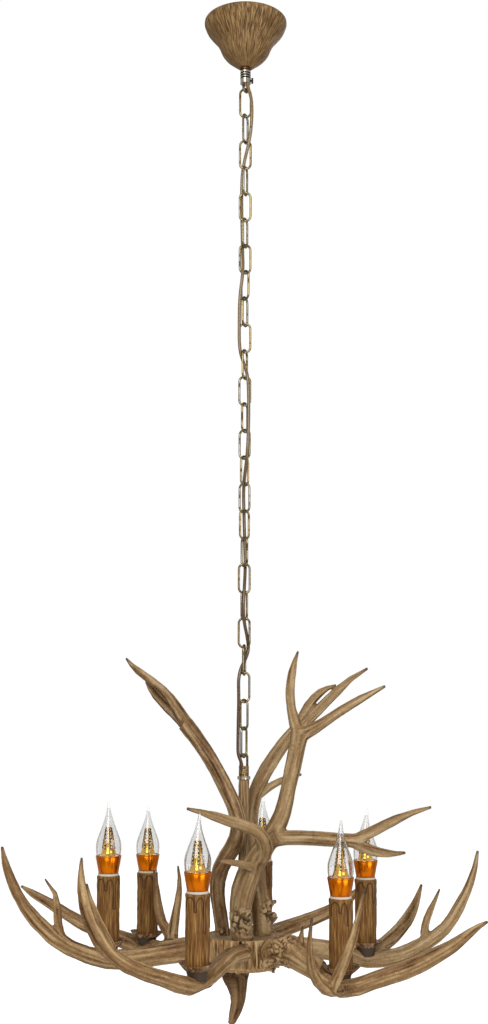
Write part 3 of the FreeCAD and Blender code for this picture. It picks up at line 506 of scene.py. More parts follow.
@dataclass(frozen=True)
class RoundGrain(Finish):
    """Sprayed and combed paint on a turned form, its streaks running up and down.

    The comb leaves fine dark and pale lines, which gives the look of open wood grain.
    """

    dark: str
    middle: str
    light: str
    lines: float
    stretch: float
    spread: float
    depth: float
    roughness: float
    edge: str = "#3a2612"

    def paint(self, tree: NodeTree, surface: Node) -> None:
        """Noise on the piece's own round attribute: fine across, long along the axis."""
        place = attribute(tree, "round", "Vector")
        total = 0.0
        # Fine lines first, then broad ones; each gives half of the streaks.
        for across, along, look in ((3.2, 1.7, {"Detail": 3.0}),
                                    (1.0, 1.0, {"Detail": 4.0, "Roughness": 0.65})):
            scale = (self.lines * across, self.lines * across, self.stretch * along)
            drawn = add_node(tree, "ShaderNodeMapping", {"Vector": place, "Scale": scale}).outputs[0]
            grain = add_node(tree, "ShaderNodeTexNoise", {"Vector": drawn, "Scale": 1.0, **look})
            total = calc(tree, "MULTIPLY_ADD", grain.outputs["Fac"], 0.5, total)
        base = ramp(tree, total, ((0.5 - self.spread, self.dark), (0.5, self.middle),
                                  (0.5 + self.spread, self.light)))
        feed(tree, surface, {"Base Color": mixed(tree, attribute(tree, "edge"), base, self.edge),
                             "Roughness": self.roughness, "Specular IOR Level": 0.25})
        bump(tree, surface, total, 0.6, self.depth)


@dataclass(frozen=True)
class AgedMetal(Finish):
    """Plated steel or brass, rubbed through on its high spots.

    The plate is satin, and the tarnish in patches gives it a broken, darker sheen.
    """

    bright: str
    tarnish: str
    amount: float
    patch: float
    roughness: float

    def paint(self, tree: NodeTree, surface: Node) -> None:
        """Bright metal with tarnish patches a few millimetres wide."""
        cloud = noise(tree, own_place(tree), self.patch, 5.0)
        patch = mapped(tree, cloud, 0.62 - 0.3 * self.amount, 0.74 - 0.3 * self.amount)
        dull = min(1.0, self.roughness + 0.3)
        feed(tree, surface, {"Base Color": mixed(tree, patch, linear(self.bright), self.tarnish),
                             "Metallic": 1.0, "Roughness": mapped(tree, patch, 0, 1, self.roughness, dull)})
        bump(tree, surface, cloud, 0.25, 0.1)


@dataclass(frozen=True)
class GroovedNickel(AgedMetal):
    """Nickel plate with painted shade in its turned grooves."""

    # Near-black colour of the painted shade in each groove.
    groove_shade: str = "#2a2118"
    first: float = 78.9
    width: float = 2.4
    pitch: float = 3.6
    grooves: int = 3

    def paint(self, tree: NodeTree, surface: Node) -> None:
        """Satin nickel with a band of painted shade in each groove, by depth under the ceiling."""
        super().paint(tree, surface)
        plate = surface.inputs["Base Color"].links[0].from_socket
        level = add_node(tree, "ShaderNodeSeparateXYZ", {0: own_place(tree)}).outputs["Z"]
        end = self.first + self.grooves * self.pitch
        # The count stops just short of the number of grooves, so that nothing under them is dark.
        count = mapped(tree, level, -self.first * MM, -end * MM, 0.0, self.grooves - 0.001)
        inside = calc(tree, "LESS_THAN", calc(tree, "FRACT", count), self.width / self.pitch)
        # Each groove gets a band of painted shade.
        groove = calc(tree, "MULTIPLY", inside, calc(tree, "GREATER_THAN", count, 0.001))
        feed(tree, surface, {"Base Color": mixed(tree, groove, plate, self.groove_shade)})


@dataclass(frozen=True)
class AnodisedAluminium(Finish):
    """Turned aluminium, dyed and anodised.

    The lathe's fine rings stay under the clear coat and pull its highlights into upright bands.
    """

    colour: str
    roughness: float
    drawn: float = 0.8

    def paint(self, tree: NodeTree, surface: Node) -> None:
        """Coloured metal with turning rings, drawn coarser than real to show."""
        rings = add_node(tree, "ShaderNodeTexWave",
                         {"Vector": own_place(tree), "Scale": 320.0, "Distortion": 0.6}, bands_direction="Z")
        upright = (0.0, 0.0, 1.0)
        turned = add_node(tree, "ShaderNodeVectorMath", {0: upright, 1: attribute(tree, "round", "Vector")},
                          operation="CROSS_PRODUCT")
        feed(tree, surface, {"Base Color": linear(self.colour), "Metallic": 1.0, "Roughness": self.roughness,
                             "Anisotropic": self.drawn, "Anisotropic Rotation": 0.25,
                             "Tangent": turned.outputs[0]})
        bump(tree, surface, rings.outputs["Fac"], 0.12, 0.05)


@dataclass(frozen=True)
class Enamel(Finish):
    """Smooth moulded or painted skin with a faint orange peel."""

    colour: str
    roughness: float
    peel: float = 1.5

    def paint(self, tree: NodeTree, surface: Node) -> None:
        """Plain colour with a slight cloud and peel."""
        place = own_place(tree)
        value = mapped(tree, noise(tree, place, 16.0, 3.0), 0, 1, 0.82, 1.12)
        tint = add_node(tree, "ShaderNodeHueSaturation", {"Color": linear(self.colour), "Value": value})
        feed(tree, surface, {"Base Color": tint.outputs[0], "Roughness": self.roughness})
        bump(tree, surface, noise(tree, place, self.peel, 2.0), 0.15, 0.08)


@dataclass(frozen=True)
class ClearGlass(Finish):
    """Blown clear glass, thin and smooth, so only its edges and highlights show."""

    tint: str = "#edecea"
    # The edge colour is a painted grey reflection at the glancing rims.
    edge: str = "#6f6d68"

    def paint(self, tree: NodeTree, surface: Node) -> None:
        """Clear transmission, with a painted grey reflection of darker surroundings at the glancing rims,
        partly in place of the transmission.
        """
        facing = add_node(tree, "ShaderNodeLayerWeight", {"Blend": 0.5}).outputs["Facing"]
        feed(tree, surface, {"Base Color": ramp(tree, facing, ((0.5, self.tint), (0.92, self.edge))),
                             "Transmission Weight": mapped(tree, facing, 0.55, 0.95, 1.0, 0.45),
                             "Roughness": 0.0, "IOR": 1.5})


@dataclass(frozen=True)
class CordCover(Finish):
    """Clear gold vinyl over braided copper: the braid shows through as a fine diagonal weave."""

    dark: str = "#301e08"
    light: str = "#886e40"
    brown: str = "#44250b"
    slant: float = 0.8

    def paint(self, tree: NodeTree, surface: Node) -> None:
        """Diagonal braid about 1.2 mm wide on the cord's own UV map, under a glossy coat."""
        uv = add_node(tree, "ShaderNodeUVMap", uv_map="along").outputs[0]
        waves = []
        for slant in (self.slant, -self.slant):
            turned = add_node(tree, "ShaderNodeMapping", {"Vector": uv, "Rotation": (0, 0, slant)}).outputs[0]
            waves.append(add_node(tree, "ShaderNodeTexWave", {"Vector": turned, "Scale": 260.0}).outputs["Fac"])
        braid = calc(tree, "MAXIMUM", *waves)
        colour = ramp(tree, braid, ((0.1, self.dark), (0.95, self.light)))
        # The cord is browner and darker towards the foot, over the whole drop.
        level = add_node(tree, "ShaderNodeSeparateXYZ", {0: own_place(tree)}).outputs["Z"]
        foot_share = mapped(tree, level, -0.3, -1.0, 0.0, 0.85)
        feed(tree, surface, {"Base Color": mixed(tree, foot_share, colour, self.brown), "Roughness": 0.35,
                             "Coat Weight": 0.6, "Coat Roughness": 0.12})
        bump(tree, surface, braid, 0.2, 0.1)


ANTLER = CastResin("cast_antler_resin", "#4d3317", "#785a37", "#937751", "#b39a74", contrast=0.54)
DEEP_ANTLER = CastResin("deep_stained_antler_resin", "#482c0e", "#72522f", "#8c6d47", "#b3966b", contrast=0.64)
RED_ANTLER = CastResin("reddish_antler_resin", "#3c220a", "#644526", "#816542", "#a88d69", contrast=0.7)
BARK = CastResin("cast_bark_resin", "#2a1706", "#4e3518", "#6e502d", "#967651", "#1c0f03", contrast=0.8)
LEAF = CastResin("cast_leaf_resin", "#2e1908", "#573a1f", "#7d5c3b", "#a88662", "#1c0f03", contrast=0.6)
PALE_BARK = CastResin("pale_bark_resin", "#4e3012", "#8c693e", "#b18b5a", "#d2b284", "#2e1b09", contrast=0.85)
SLEEVE = RoundGrain("cast_sleeve_resin", "#452408", "#714b1d", "#a27c47", 6.0, 26.0, 0.14, 0.5, 0.6, "#2c1404")
CANOPY = RoundGrain("combed_canopy_paint", "#38200b", "#6f502a", "#a98a5c", 38.0, 66.0, 0.09, 0.4, 0.55)
STEM = RoundGrain("streaked_stem_paint", "#4d3317", "#957650", "#bba27a", 5.0, 22.0, 0.11, 0.4, 0.6)
BRASS = AgedMetal("antique_brass_plate", "#918260", "#544023", 0.33, 12.0, 0.24)
BLACKENED = AgedMetal("blackened_brass", "#3a3022", "#15110c", 0.5, 3.0, 0.4)
STEEL = AgedMetal("zinc_plated_steel", "#b9b9b4", "#8e8e88", 0.3, 6.0, 0.35)
NICKEL = AgedMetal("satin_nickel_plate", "#d3cbb9", "#9a8f7c", 0.3, 3.0, 0.25)
COPPER = AgedMetal("polished_copper_plate", "#8a5a45", "#3a1d12", 0.4, 3.0, 0.28)
BRONZE = AgedMetal("crackled_bronze_paint", "#b79c70", "#4a3519", 0.55, 2.4, 0.45)
GRIP = GroovedNickel("grooved_nickel_grip", "#d3cbb9", "#9a8f7c", 0.3, 3.0, 0.25)
ORANGE = AnodisedAluminium("orange_anodised_aluminium", "#e67a10", 0.27)
GOLD = AnodisedAluminium("gold_lamp_carrier", "#dca944", 0.14)
BLACK = Enamel("satin_black_paint", "#15110d", 0.35)
CUP = Enamel("dark_brown_paint", "#3b2a1a", 0.65)
PLATE = Enamel("brown_plate_paint", "#8c7250", 0.75)
IVORY = Enamel("ivory_moulded_plastic", "#cfc6b4", 0.35)
CHIP = Enamel("pale_lamp_phosphor", "#e8c05c", 0.4)
STRIP = Enamel("dark_lamp_strip", "#1c0f03", 0.45)
GLASS = ClearGlass("clear_blown_glass")
CORD = CordCover("gold_vinyl_over_braid")


# ---------------------------------------------------------------- carved castings
class Bend(Enum):
    """Mean curvatures in 1/m between which a place starts to count and counts in full.

    A hollow's curvature is taken with its sign turned.
    """

    SLIM = (110.0, 250.0)
    SHARP = (60.0, 180.0)
    TIP = (150.0, 310.0)
    HOLLOW = (6.0, 66.0)
    CROTCH = (5.0, 20.0)

    def share(self, values: np.ndarray) -> np.ndarray:
        """How far each value counts, 0 to 1."""
        start, full = self.value
        return np.clip((values - start) / (full - start), 0, 1)


@dataclass(frozen=True)
class Burr:
    """A rough, knobby place on a casting: (right, back, up) centre and reach in millimetres."""

    centre: tuple[float, float, float]
    reach: float


class Flow:
    """Grid of limb directions, which draws seeded noise out into long grain.

    In each cell the direction is the one that the normals round it lean on least.
    """

    cell = 0.006
    lattice = 48
    steps = 11
    stride = 0.003

    def __init__(self, points: np.ndarray, normals: np.ndarray) -> None:
        """Build the grid from the vertices' places and normals."""
        self.low = points.min(0) - 3 * self.cell
        self.shape = ((points.max(0) - self.low) / self.cell).astype(int) + 4
        cells = self.cells(points)
        size = int(np.prod(self.shape))
        products = normals[:, :, None] * normals[:, None, :]
        sums = np.stack([np.bincount(cells, products[:, i, j], size) for i in range(3) for j in range(3)], 1)
        sums = sums.reshape(tuple(self.shape) + (9,))
        for axis in (0, 1, 2, 0, 1, 2):
            sums = sums + np.roll(sums, 1, axis) + np.roll(sums, -1, axis)
        sums = sums.reshape(-1, 3, 3)
        used = np.flatnonzero(sums[:, 0, 0] + sums[:, 1, 1] + sums[:, 2, 2] > 0)
        self.directions = np.zeros((size, 3))
        self.directions[used] = np.linalg.eigh(sums[used])[1][:, :, 0]

    def cells(self, places: np.ndarray) -> np.ndarray:
        """Number of the cell that holds each place."""
        keys = ((places - self.low) / self.cell).astype(int)
        keys = np.clip(keys, 0, self.shape - 1)
        return (keys[:, 0] * self.shape[1] + keys[:, 1]) * self.shape[2] + keys[:, 2]

    def noise(self, values: np.ndarray, places: np.ndarray, size: float) -> np.ndarray:
        """Lattice noise with cells of the given size in metres, smooth between its corners."""
        scaled = places / size
        corner = np.floor(scaled).astype(int)
        part = scaled - corner
        total = np.zeros(len(places))
        for number in range(8):
            bits = np.array((number & 1, number >> 1 & 1, number >> 2 & 1))
            keys = (corner + bits) % self.lattice
            weight = np.prod(np.where(bits, part, 1 - part), axis=1)
            total += weight * values[(keys[:, 0] * self.lattice + keys[:, 1]) * self.lattice + keys[:, 2]]
        return total

    def drawn(self, points: np.ndarray, sizes: tuple[float, ...], seed: int) -> list[np.ndarray]:
        """Noises averaged along the limb through each vertex.

        Args:
            points: vertex places.
            sizes: width of each noise's streaks in metres.
            seed: fixed seed.

        Returns:
            For each size one value for each vertex, with mean 0 and spread 1.
        """
        rng = np.random.default_rng(seed)
        values = [rng.normal(size=self.lattice ** 3) for _ in sizes]
        totals = [self.noise(v, points, size) for v, size in zip(values, sizes)]
        for way in (1, -1):
            place = points.copy()
            heading = way * self.directions[self.cells(place)]
            for _ in range(self.steps):
                place = place + heading * self.stride
                ahead = self.directions[self.cells(place)]
                side = np.sign((ahead * heading).sum(1))[:, None]
                heading = np.where(side == 0, heading, ahead * side)
                for total, v, size in zip(totals, values, sizes):
                    total += self.noise(v, place, size)
        return [(t - t.mean()) / max(t.std(), 1e-9) for t in totals]


@dataclass
class Casting:
    """A cast resin piece: its solid's form, smoothed and carved with grain that follows it.

    Attributes:
        node: the CAD node it stands for.
        finish: its resin.
        slot: the record's material slot.
        seed: fixed seed of its grain.
        voxel: mesh size in millimetres.
        groove: depth of the grain's grooves in millimetres.
        lumps: height of the broad unevenness in millimetres.
        rough: height of the burrs' crust in millimetres.
        smoothing: rounds of smoothing, which take the solid's flats out.
        webbing: rounds of filling in the crotches.
        burrs: its rough places.
        shrink: how far a round of smoothing takes each vertex to its neighbours' mean.
        swell: how far it then goes back, a little more, so that limbs keep their girth.
    """

    node: str
    finish: CastResin
    slot: str
    seed: int
    voxel: float = 1.2
    groove: float = 0.38
    lumps: float = 0.3
    rough: float = 1.5
    smoothing: int = 45
    webbing: int = 250
    burrs: tuple[Burr, ...] = ()
    shrink: float = 0.55
    swell: float = 0.56

    def build(self) -> None:
        """Join the solid's loose triangles, remesh, carve and dress the piece."""
        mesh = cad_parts[self.node].data.copy()
        clean(mesh, 1e-6)
        obj = link_object(mesh, self.node + "_cast")
        step = obj.modifiers.new("voxels", "REMESH")
        step.mode = "VOXEL"
        step.voxel_size = self.voxel * MM
        obj.data = baked(obj)
        self.carve(obj.data)
        shade(obj.data)
        dress(obj, self.finish, "chandelier", self.slot, self.node)

    def carve(self, mesh: Mesh) -> None:
        """Smooth the flats out, then move the surface by grain and lumps and store the attributes."""
        points = coordinates(mesh)
        pairs = self.neighbours(mesh)
        slim = Bend.SLIM.share(self.curvature(points, normals_of(mesh), pairs))
        hold = (1 - 0.9 * slim)[:, None]
        for _ in range(self.smoothing):
            points = self.relax(points, pairs, self.shrink * hold)
            points = self.relax(points, pairs, -self.swell * hold)
        points = self.web(mesh, points, pairs)
        normals = normals_of(mesh)
        bend = self.curvature(points, normals, pairs)
        calm = 1 - 0.9 * Bend.SHARP.share(bend)
        grain, relief = self.pattern(points, normals)
        crust, burr = self.crust(points)
        relief = (relief * (1 - burr) + self.lumps * wavy(points, 0.06, self.seed + 2)) * calm
        move_to(mesh, points + normals * ((relief + self.rough * burr * crust) * MM)[:, None])
        grain = grain * (1 - burr) + burr * crust * 1.8
        stained = np.clip(Bend.HOLLOW.share(-bend), 0, 0.7)
        stained = stained + np.clip(-grain - 1.25, 0, 1) * self.finish.contrast
        stained += burr * np.clip(-1.4 * crust, 0, 0.95)
        set_attribute(mesh, "grain", grain)
        set_attribute(mesh, "hollow", np.clip(stained, 0, 0.9))
        set_attribute(mesh, "tip", Bend.TIP.share(bend) * 0.8)

    def pattern(self, points: np.ndarray, normals: np.ndarray) -> tuple[np.ndarray, np.ndarray]:
        """Grain that runs along the limbs.

        Args:
            points: vertex places.
            normals: vertex normals.

        Returns:
            The grain, about -2.5 to 2.5, and its relief in millimetres.
        """
        wide, fine = Flow(points, normals).drawn(points, (0.0052, 0.0021), self.seed)
        return 0.35 * wide + 0.8 * fine, self.groove * (0.7 * np.clip(wide, -2.2, 1.6) + 0.5 * fine)

    def web(self, mesh: Mesh, points: np.ndarray, pairs: np.ndarray) -> np.ndarray:
        """Fill the crotches in with webs: the surface is evened out only where it is hollow."""
        turns = 5
        move_to(mesh, points)
        for _ in range(turns):
            hollow = Bend.CROTCH.share(-self.curvature(points, normals_of(mesh), pairs))
            touched = np.flatnonzero(hollow > 0.02)
            row = np.full(len(points), -1)
            row[touched] = np.arange(len(touched))
            near = pairs[row[pairs[:, 0]] >= 0]
            near[:, 0] = row[near[:, 0]]
            for _ in range(self.webbing // turns):
                points[touched] = self.relax(points[touched], near, 0.7 * hollow[touched, None], points)
            move_to(mesh, points)
        return points

    def crust(self, points: np.ndarray) -> tuple[np.ndarray, np.ndarray]:
        """Knobs of the burrs with narrow folds between, and how strong they are at each vertex."""
        folds = 2.2 * np.abs(wavy(points, 0.012, self.seed + 3)) - 1
        folds += 0.6 * wavy(points, 0.0045, self.seed + 4)
        burr = np.zeros(len(points))
        for spot in self.burrs:
            away = np.linalg.norm(points - np.array(spot.centre) * MM, axis=1) / (spot.reach * MM)
            burr = np.maximum(burr, np.clip(1.6 - 1.6 * away, 0, 1))
        return np.clip(folds, -1.6, 1.4), burr

    @staticmethod
    def neighbours(mesh: Mesh) -> np.ndarray:
        """Vertex pairs along the edges and across the quads."""
        edges = np.zeros(len(mesh.edges) * 2, np.int32)
        mesh.edges.foreach_get("vertices", edges)
        pairs = [edges.reshape(-1, 2)]
        quads = np.array([p.vertices for p in mesh.polygons if len(p.vertices) == 4], np.int32)
        if len(quads):
            pairs += [quads[:, (0, 2)], quads[:, (1, 3)]]
        both = np.concatenate(pairs)
        return np.concatenate((both, both[:, ::-1]))

    @staticmethod
    def relax(points: np.ndarray, pairs: np.ndarray, factor: np.ndarray,
              around: np.ndarray | None = None) -> np.ndarray:
        """Move each vertex towards its neighbours' mean, or away when the factor is negative.

        Args:
            points: the places that are moved; the pairs' first numbers count in them.
            pairs: a moved vertex and one of its neighbours.
            factor: share of the way.
            around: the places that the pairs' second numbers count in, if not the moved ones.

        Returns:
            The new places.
        """
        total = len(points)
        around = points if around is None else around
        count = np.bincount(pairs[:, 0], minlength=total)[:, None]
        mean = np.stack([np.bincount(pairs[:, 0], around[pairs[:, 1], k], total) for k in range(3)], 1)
        return points + factor * (mean / np.maximum(count, 1) - points)

    @staticmethod
    def curvature(points: np.ndarray, normals: np.ndarray, pairs: np.ndarray) -> np.ndarray:
        """Mean curvature at each vertex, in 1/m, evened out: high on thin tips, negative in hollows."""
        total = len(points)
        step = points[pairs[:, 1]] - points[pairs[:, 0]]
        turn = normals[pairs[:, 1]] - normals[pairs[:, 0]]
        bend = (step * turn).sum(1) / np.maximum((step ** 2).sum(1), 1e-12)
        count = np.maximum(np.bincount(pairs[:, 0], minlength=total), 1)
        value = np.bincount(pairs[:, 0], bend, total) / count
        for _ in range(8):
            value = 0.3 * value + 0.7 * np.bincount(pairs[:, 0], value[pairs[:, 1]], total) / count
        return value


@dataclass
class BarkDrum(Casting):
    """The hub: its grain runs straight up its side and lies wild on its top."""

    comb: float = 0.7

    def pattern(self, points: np.ndarray, normals: np.ndarray) -> tuple[np.ndarray, np.ndarray]:
        """Upright comb marks about 3 mm apart, which fade on the flat top."""
        wide = wavy(points * (1, 1, 0.06), 0.0042, self.seed, 60) * 1.3
        fine = wavy(points * (1, 1, 0.12), 0.0026, self.seed + 1, 60) * 1.2
        side = 1 - np.abs(normals[:, 2]) ** 2
        return (0.8 * wide + 0.5 * fine) * (0.3 + 0.7 * side), self.comb * side * np.clip(wide, -1.8, 1.0)


@dataclass
class Pan:
    """One leafy dish: a thin wall with pointed, curling lips round a sleeve's foot.

    Attributes:
        name: the candle's name.
        seed: fixed seed of its lips.
        lips: how many points it has.
        reach: radius at the highest lips.
        rise: height of the highest lips.
        floor: height of its floor over its foot.
        hole: radius of the bolt hole.
        seat: radius under the sleeve.
        well: radius inside at the floor.
    """

    name: str
    seed: int
    lips: int = 2
    reach: float = 26.8
    rise: float = 12.8
    floor: float = 6.0
    hole: float = 2.3
    seat: float = 16.4
    well: float = 18.0
    columns: int = 144

    def surface(self) -> tuple[np.ndarray, list]:
        """Points in metres and faces of the dish, from its bolt hole out under the leaf and back inside."""
        foot = foot_of("sleeve_" + self.name, -self.floor)
        rng = np.random.default_rng(self.seed)
        angles = np.linspace(0, TURN, self.columns, endpoint=False)
        lip = 1 - np.abs(np.sin(self.lips / 2 * (angles + 0.8 * rng.uniform(0, 1) - 0.4)))
        sway = 0.5 + 0.5 * np.cos(2 * angles + rng.uniform(0, 6)) * 0.8
        edge = self.reach - 4.4 * (1 - lip) - 1.4 * sway * (1 - lip)
        top = self.floor + 0.8 + (self.rise - self.floor - 0.8) * (0.3 + 0.7 * lip) * (0.4 + 0.6 * sway)
        ribs = 0.35 * np.cos(self.lips * 4 * angles + rng.uniform(0, 6))
        flat = 0 * edge
        rows = ((self.hole + flat, flat), (12.0 + flat, flat), (self.seat + ribs, 0.3 + flat),
                (0.5 * (self.seat + edge) + ribs, 0.38 * top + 0.5), (edge - 0.9, top - 1.4),
                (edge, top - 0.3), (edge - 0.5, top), (edge - 1.6, top - 0.5),
                (0.55 * (self.well + 0.4) + 0.45 * edge, self.floor + 0.9 + ribs),
                (self.well + flat, self.floor + 0.2 + flat), (self.hole + flat, self.floor + flat))
        points = [np.stack((r * np.cos(angles), r * np.sin(angles), z), 1) for r, z in rows]
        return np.concatenate(points) * MM + foot, grid(len(rows), self.columns, True)


@dataclass
class Antlers:
    """The fitting's cast resin: antlers, hub, finial and pans.

    Attributes:
        plate: level of the hub's plate in millimetres.
        hub_foot: level of the hub's foot.
    """

    plate: float = -1379.05
    hub_foot: float = -1424.05

    def build(self) -> None:
        """Build every casting."""
        plate, foot = self.plate, self.hub_foot
        self.upper("front", ANTLER, 11, (Burr((-3, -48, plate + 28), 26), Burr((52, -60, plate + 178), 8)))
        self.upper("left", RED_ANTLER, 16, (Burr((-30, 6, plate + 4), 12),), 50)
        self.upper("right", ANTLER, 21, (Burr((38, 4, plate + 36), 20),))
        self.lower("left", 41)
        self.lower("rear_left", 46)
        self.lower("front_left", 51, (Burr((5, -62, plate - 13), 17),))
        self.lower("rear_right", 56)
        self.lower("front_right", 61, (Burr((62, -76, plate - 8), 34),))
        self.lower("right", 66, finish=ANTLER)
        BarkDrum("hub", PALE_BARK, "bark_resin", 80, 1.2, lumps=0.4, smoothing=4, webbing=0,
                 burrs=(Burr((48, -26, foot), 14), Burr((-40, -36, foot), 8))).build()
        Casting("finial", BARK, "bark_resin", 85, voxel=1.0, groove=0.9, lumps=0.8, rough=1.3, smoothing=20,
                webbing=20, burrs=(Burr((-10, -4, foot - 2), 22),)).build()
        dress(link_object(self.pans(), "candle_pans_leafy"), LEAF, "chandelier", "bark_resin", "candle_pans")
        dress_nodes(PLATE, "hub_plate")

    @staticmethod
    def upper(name: str, finish: CastResin, seed: int, burrs: tuple[Burr, ...], webbing: int = 250) -> None:
        """An antler on the hub's plate."""
        Casting("upper_antler_" + name, finish, "antler_resin", seed, webbing=webbing, burrs=burrs).build()

    @staticmethod
    def lower(name: str, seed: int, burrs: tuple[Burr, ...] = (), finish: CastResin = DEEP_ANTLER) -> None:
        """An antler under a candle, a little deeper in its grooves."""
        Casting("lower_antler_" + name, finish, "antler_resin", seed, groove=0.5, burrs=burrs).build()

    @staticmethod
    def pans() -> Mesh:
        """The six dishes as one mesh, with the grain in their folds."""
        points = []
        faces = []
        for number, name in enumerate(CANDLE_NAMES):
            places, quads = Pan(name, 120 + number).surface()
            faces += [tuple(number * len(places) + v for v in quad) for quad in quads]
            points.append(places)
        mesh = mesh_from("candle_pans", np.concatenate(points), faces)
        places = coordinates(mesh)
        set_attribute(mesh, "grain", 1.2 * wavy(places, 0.004, 130) + 0.8 * wavy(places, 0.012, 131))
        set_attribute(mesh, "hollow", np.clip(0.5 * wavy(places, 0.006, 132), 0, 0.7))
        set_attribute(mesh, "tip", np.zeros(len(places)))
        return mesh


# ---------------------------------------------------------------- ceiling end
@dataclass
class CeilingEnd:
    """Canopy, its mounting and the grooved collar that carries the chain.

    Attributes:
        rim: canopy rim radius.
        height: canopy height.
        lip: height of its upright lip.
        wall: thickness of its wall.
        hole: radius of the hole for the nipple.
        flare: (radius, level) of the bell between its lip and its crown.
        crown: radius of its flat crown.
    """

    rim: float = 62.6
    height: float = 71.0
    lip: float = 3.0
    wall: float = 1.5
    hole: float = 5.2
    flare: tuple[tuple[float, float], ...] = (
        (58.6, -12.5), (51.0, -22.0), (44.6, -29.6), (39.6, -38.5), (35.4, -48.2), (29.4, -56.0),
        (21.6, -62.6), (13.5, -68.6))
    crown: float = 10.5

    def build(self) -> None:
        """Build and dress the ceiling end."""
        bell = link_object(self.canopy(), "canopy_bell")
        dress(bell, CANOPY, "ceiling_mount", "canopy_woodgrain", "canopy")
        dress_nodes(STEEL, "ceiling_bracket", "nipple", "nipple_nuts")
        dress_nodes(COPPER, "lock_nut")
        dress_nodes(BLACK, "dark_washer")
        dress_nodes(GRIP, "cord_grip")
        dress_nodes(BLACKENED, "thumb_screw")
        dress_nodes(BRASS, "canopy_loop")

    def canopy(self) -> Mesh:
        """The bell: lip, concave flare, rounded base and a clear hole for the nipple."""
        inside = self.rim - self.wall
        outer = rounded_profile(((self.rim, -self.lip),) + self.flare + ((self.crown, -self.height),), 5)
        inner = [(max(radius - self.wall, self.hole), level + self.wall * 0.7)
                 for radius, level in reversed(outer)]
        inner[-1] = (inside, -self.lip)
        profile = ((inside, 0.0), (self.rim, 0.0)) + outer
        profile += ((self.hole, -self.height), (self.hole, -self.height + self.wall))
        return lathe("canopy_bell", profile + tuple(inner) + ((inside, 0.0),), Vector((0, 0, 0)), 128)


# ---------------------------------------------------------------- chain and stem
@dataclass
class Chain:
    """Welded oval links hung from the collar's bow; neighbours are turned as they hang.

    Attributes:
        wire: wire diameter.
        width: link width over the wire.
        length: link length over the wire.
        gap: play between two hooked links.
        first_top: level of the first link's top wire centre.
        turns: each link's turn about the hanging axis, in degrees.
    """

    wire: float = 3.4
    width: float = 19.6
    length: float = 47.55
    gap: float = 0.3
    first_top: float = -103.5
    turns: tuple[int, ...] = (0, 65, 0, 70, 0, 67, 10, -50, 64, 0, 67, 0, 61,
                              -22, 50, -26, 36, -60, 5, 60, -5, 79, 15, -50, 62)

    def build(self) -> None:
        """Build the first link, the run between and the last link, one object for each body."""
        numbers = range(len(self.turns))
        for node, body, some in (("chain_link_first", "top_link", numbers[:1]),
                                 ("chain_links", "chain_run", numbers[1:-1]),
                                 ("chain_link_last", "bottom_link", numbers[-1:])):
            name = node + "_welded"
            obj = link_object(self.links(name, some), name)
            dress(obj, BRASS, body, "antique_brass", node)

    def links(self, name: str, numbers: range) -> Mesh:
        """Some of the links, counted from the ceiling, as one plain mesh."""
        pitch = self.length - 2 * self.wire - self.gap
        span = self.length - self.wire
        places = [(0, 0, (self.first_top - pitch * n - span / 2) * MM) for n in numbers]
        turns = [(math.pi / 2, 0, math.radians(self.turns[n])) for n in numbers]
        tree = placing_tree("chain_of_links", dict.fromkeys(("Wire", "Width", "Span"), "NodeSocketFloat"),
                            self.oval)
        mesh = placed(name, places, turns, tree, BRASS, Wire=self.wire * MM,
                      Width=(self.width - self.wire) * MM, Span=span * MM)
        shade(mesh)
        return mesh

    @staticmethod
    def oval(tree: NodeTree, given: object) -> NodeSocket:
        """Nodes of one link: a filleted rectangle swept with round wire."""
        path = add_node(tree, "GeometryNodeCurvePrimitiveQuadrilateral",
                        {"Width": given["Width"], "Height": given["Span"]})
        # A radius of just under half the width keeps the fillets apart.
        half = calc(tree, "MULTIPLY", given["Width"], 0.4999)
        bent = add_node(tree, "GeometryNodeFilletCurve",
                        {"Count": 9, "Curve": path.outputs[0], "Radius": half}, mode="POLY")
        ring = add_node(tree, "GeometryNodeCurvePrimitiveCircle",
                        {"Resolution": 14, "Radius": calc(tree, "MULTIPLY", given["Wire"], 0.5)})
        return add_node(tree, "GeometryNodeCurveToMesh",
                        {"Curve": bent.outputs[0], "Profile Curve": ring.outputs["Curve"]}).outputs[0]


@dataclass
class Stem:
    """Eye, fitting, bright washer and streaked tube that carry the hub.

    Attributes:
        radius: tube radius.
        bottom: level of its foot.
        top: level of its top.
        flutes: how many grooves it has.
        rows: rows of quads.
        columns: columns of quads.
    """

    radius: float = 8.0
    bottom: float = -1379.05
    top: float = -1151.05
    flutes: int = 14
    rows: int = 80
    columns: int = 96

    def build(self) -> None:
        """Build and dress the stem."""
        obj = link_object(self.tube(), "stem_tube_streaked")
        dress(obj, STEM, "chandelier", "stem_paint", "stem_tube")
        dress_nodes(BRASS, "stem_eye")
        dress_nodes(BRONZE, "stem_fitting")
        dress_nodes(NICKEL, "stem_washer")
        dress_nodes(STEEL, "tie_rod", "rod_nuts", "candle_bolts")

    def tube(self) -> Mesh:
        """The tube, with a groove between each pair of flutes and a little wander in their depth."""
        rows, columns = self.rows, self.columns
        rounds = np.array([(math.cos(TURN * k / columns), math.sin(TURN * k / columns),
                            (self.top - self.bottom) * row / rows * MM)
                           for row in range(rows + 1) for k in range(columns)])
        depth = 0.35 * np.cos(self.flutes * np.arctan2(rounds[:, 1], rounds[:, 0])
                              + 0.8 * wavy(rounds * (0, 0, 1), 0.05, 5))
        depth += 0.25 * wavy(rounds * (0.02, 0.02, 1), 0.016, 6)
        reach = (self.radius - 0.45 + depth) * MM
        places = np.stack((rounds[:, 0] * reach, rounds[:, 1] * reach, rounds[:, 2] + self.bottom * MM), 1)
        ends = [tuple(range(columns)), tuple(range(rows * columns, (rows + 1) * columns))]
        return mesh_from("stem_tube_streaked", places, grid(rows + 1, columns) + ends, round=rounds)


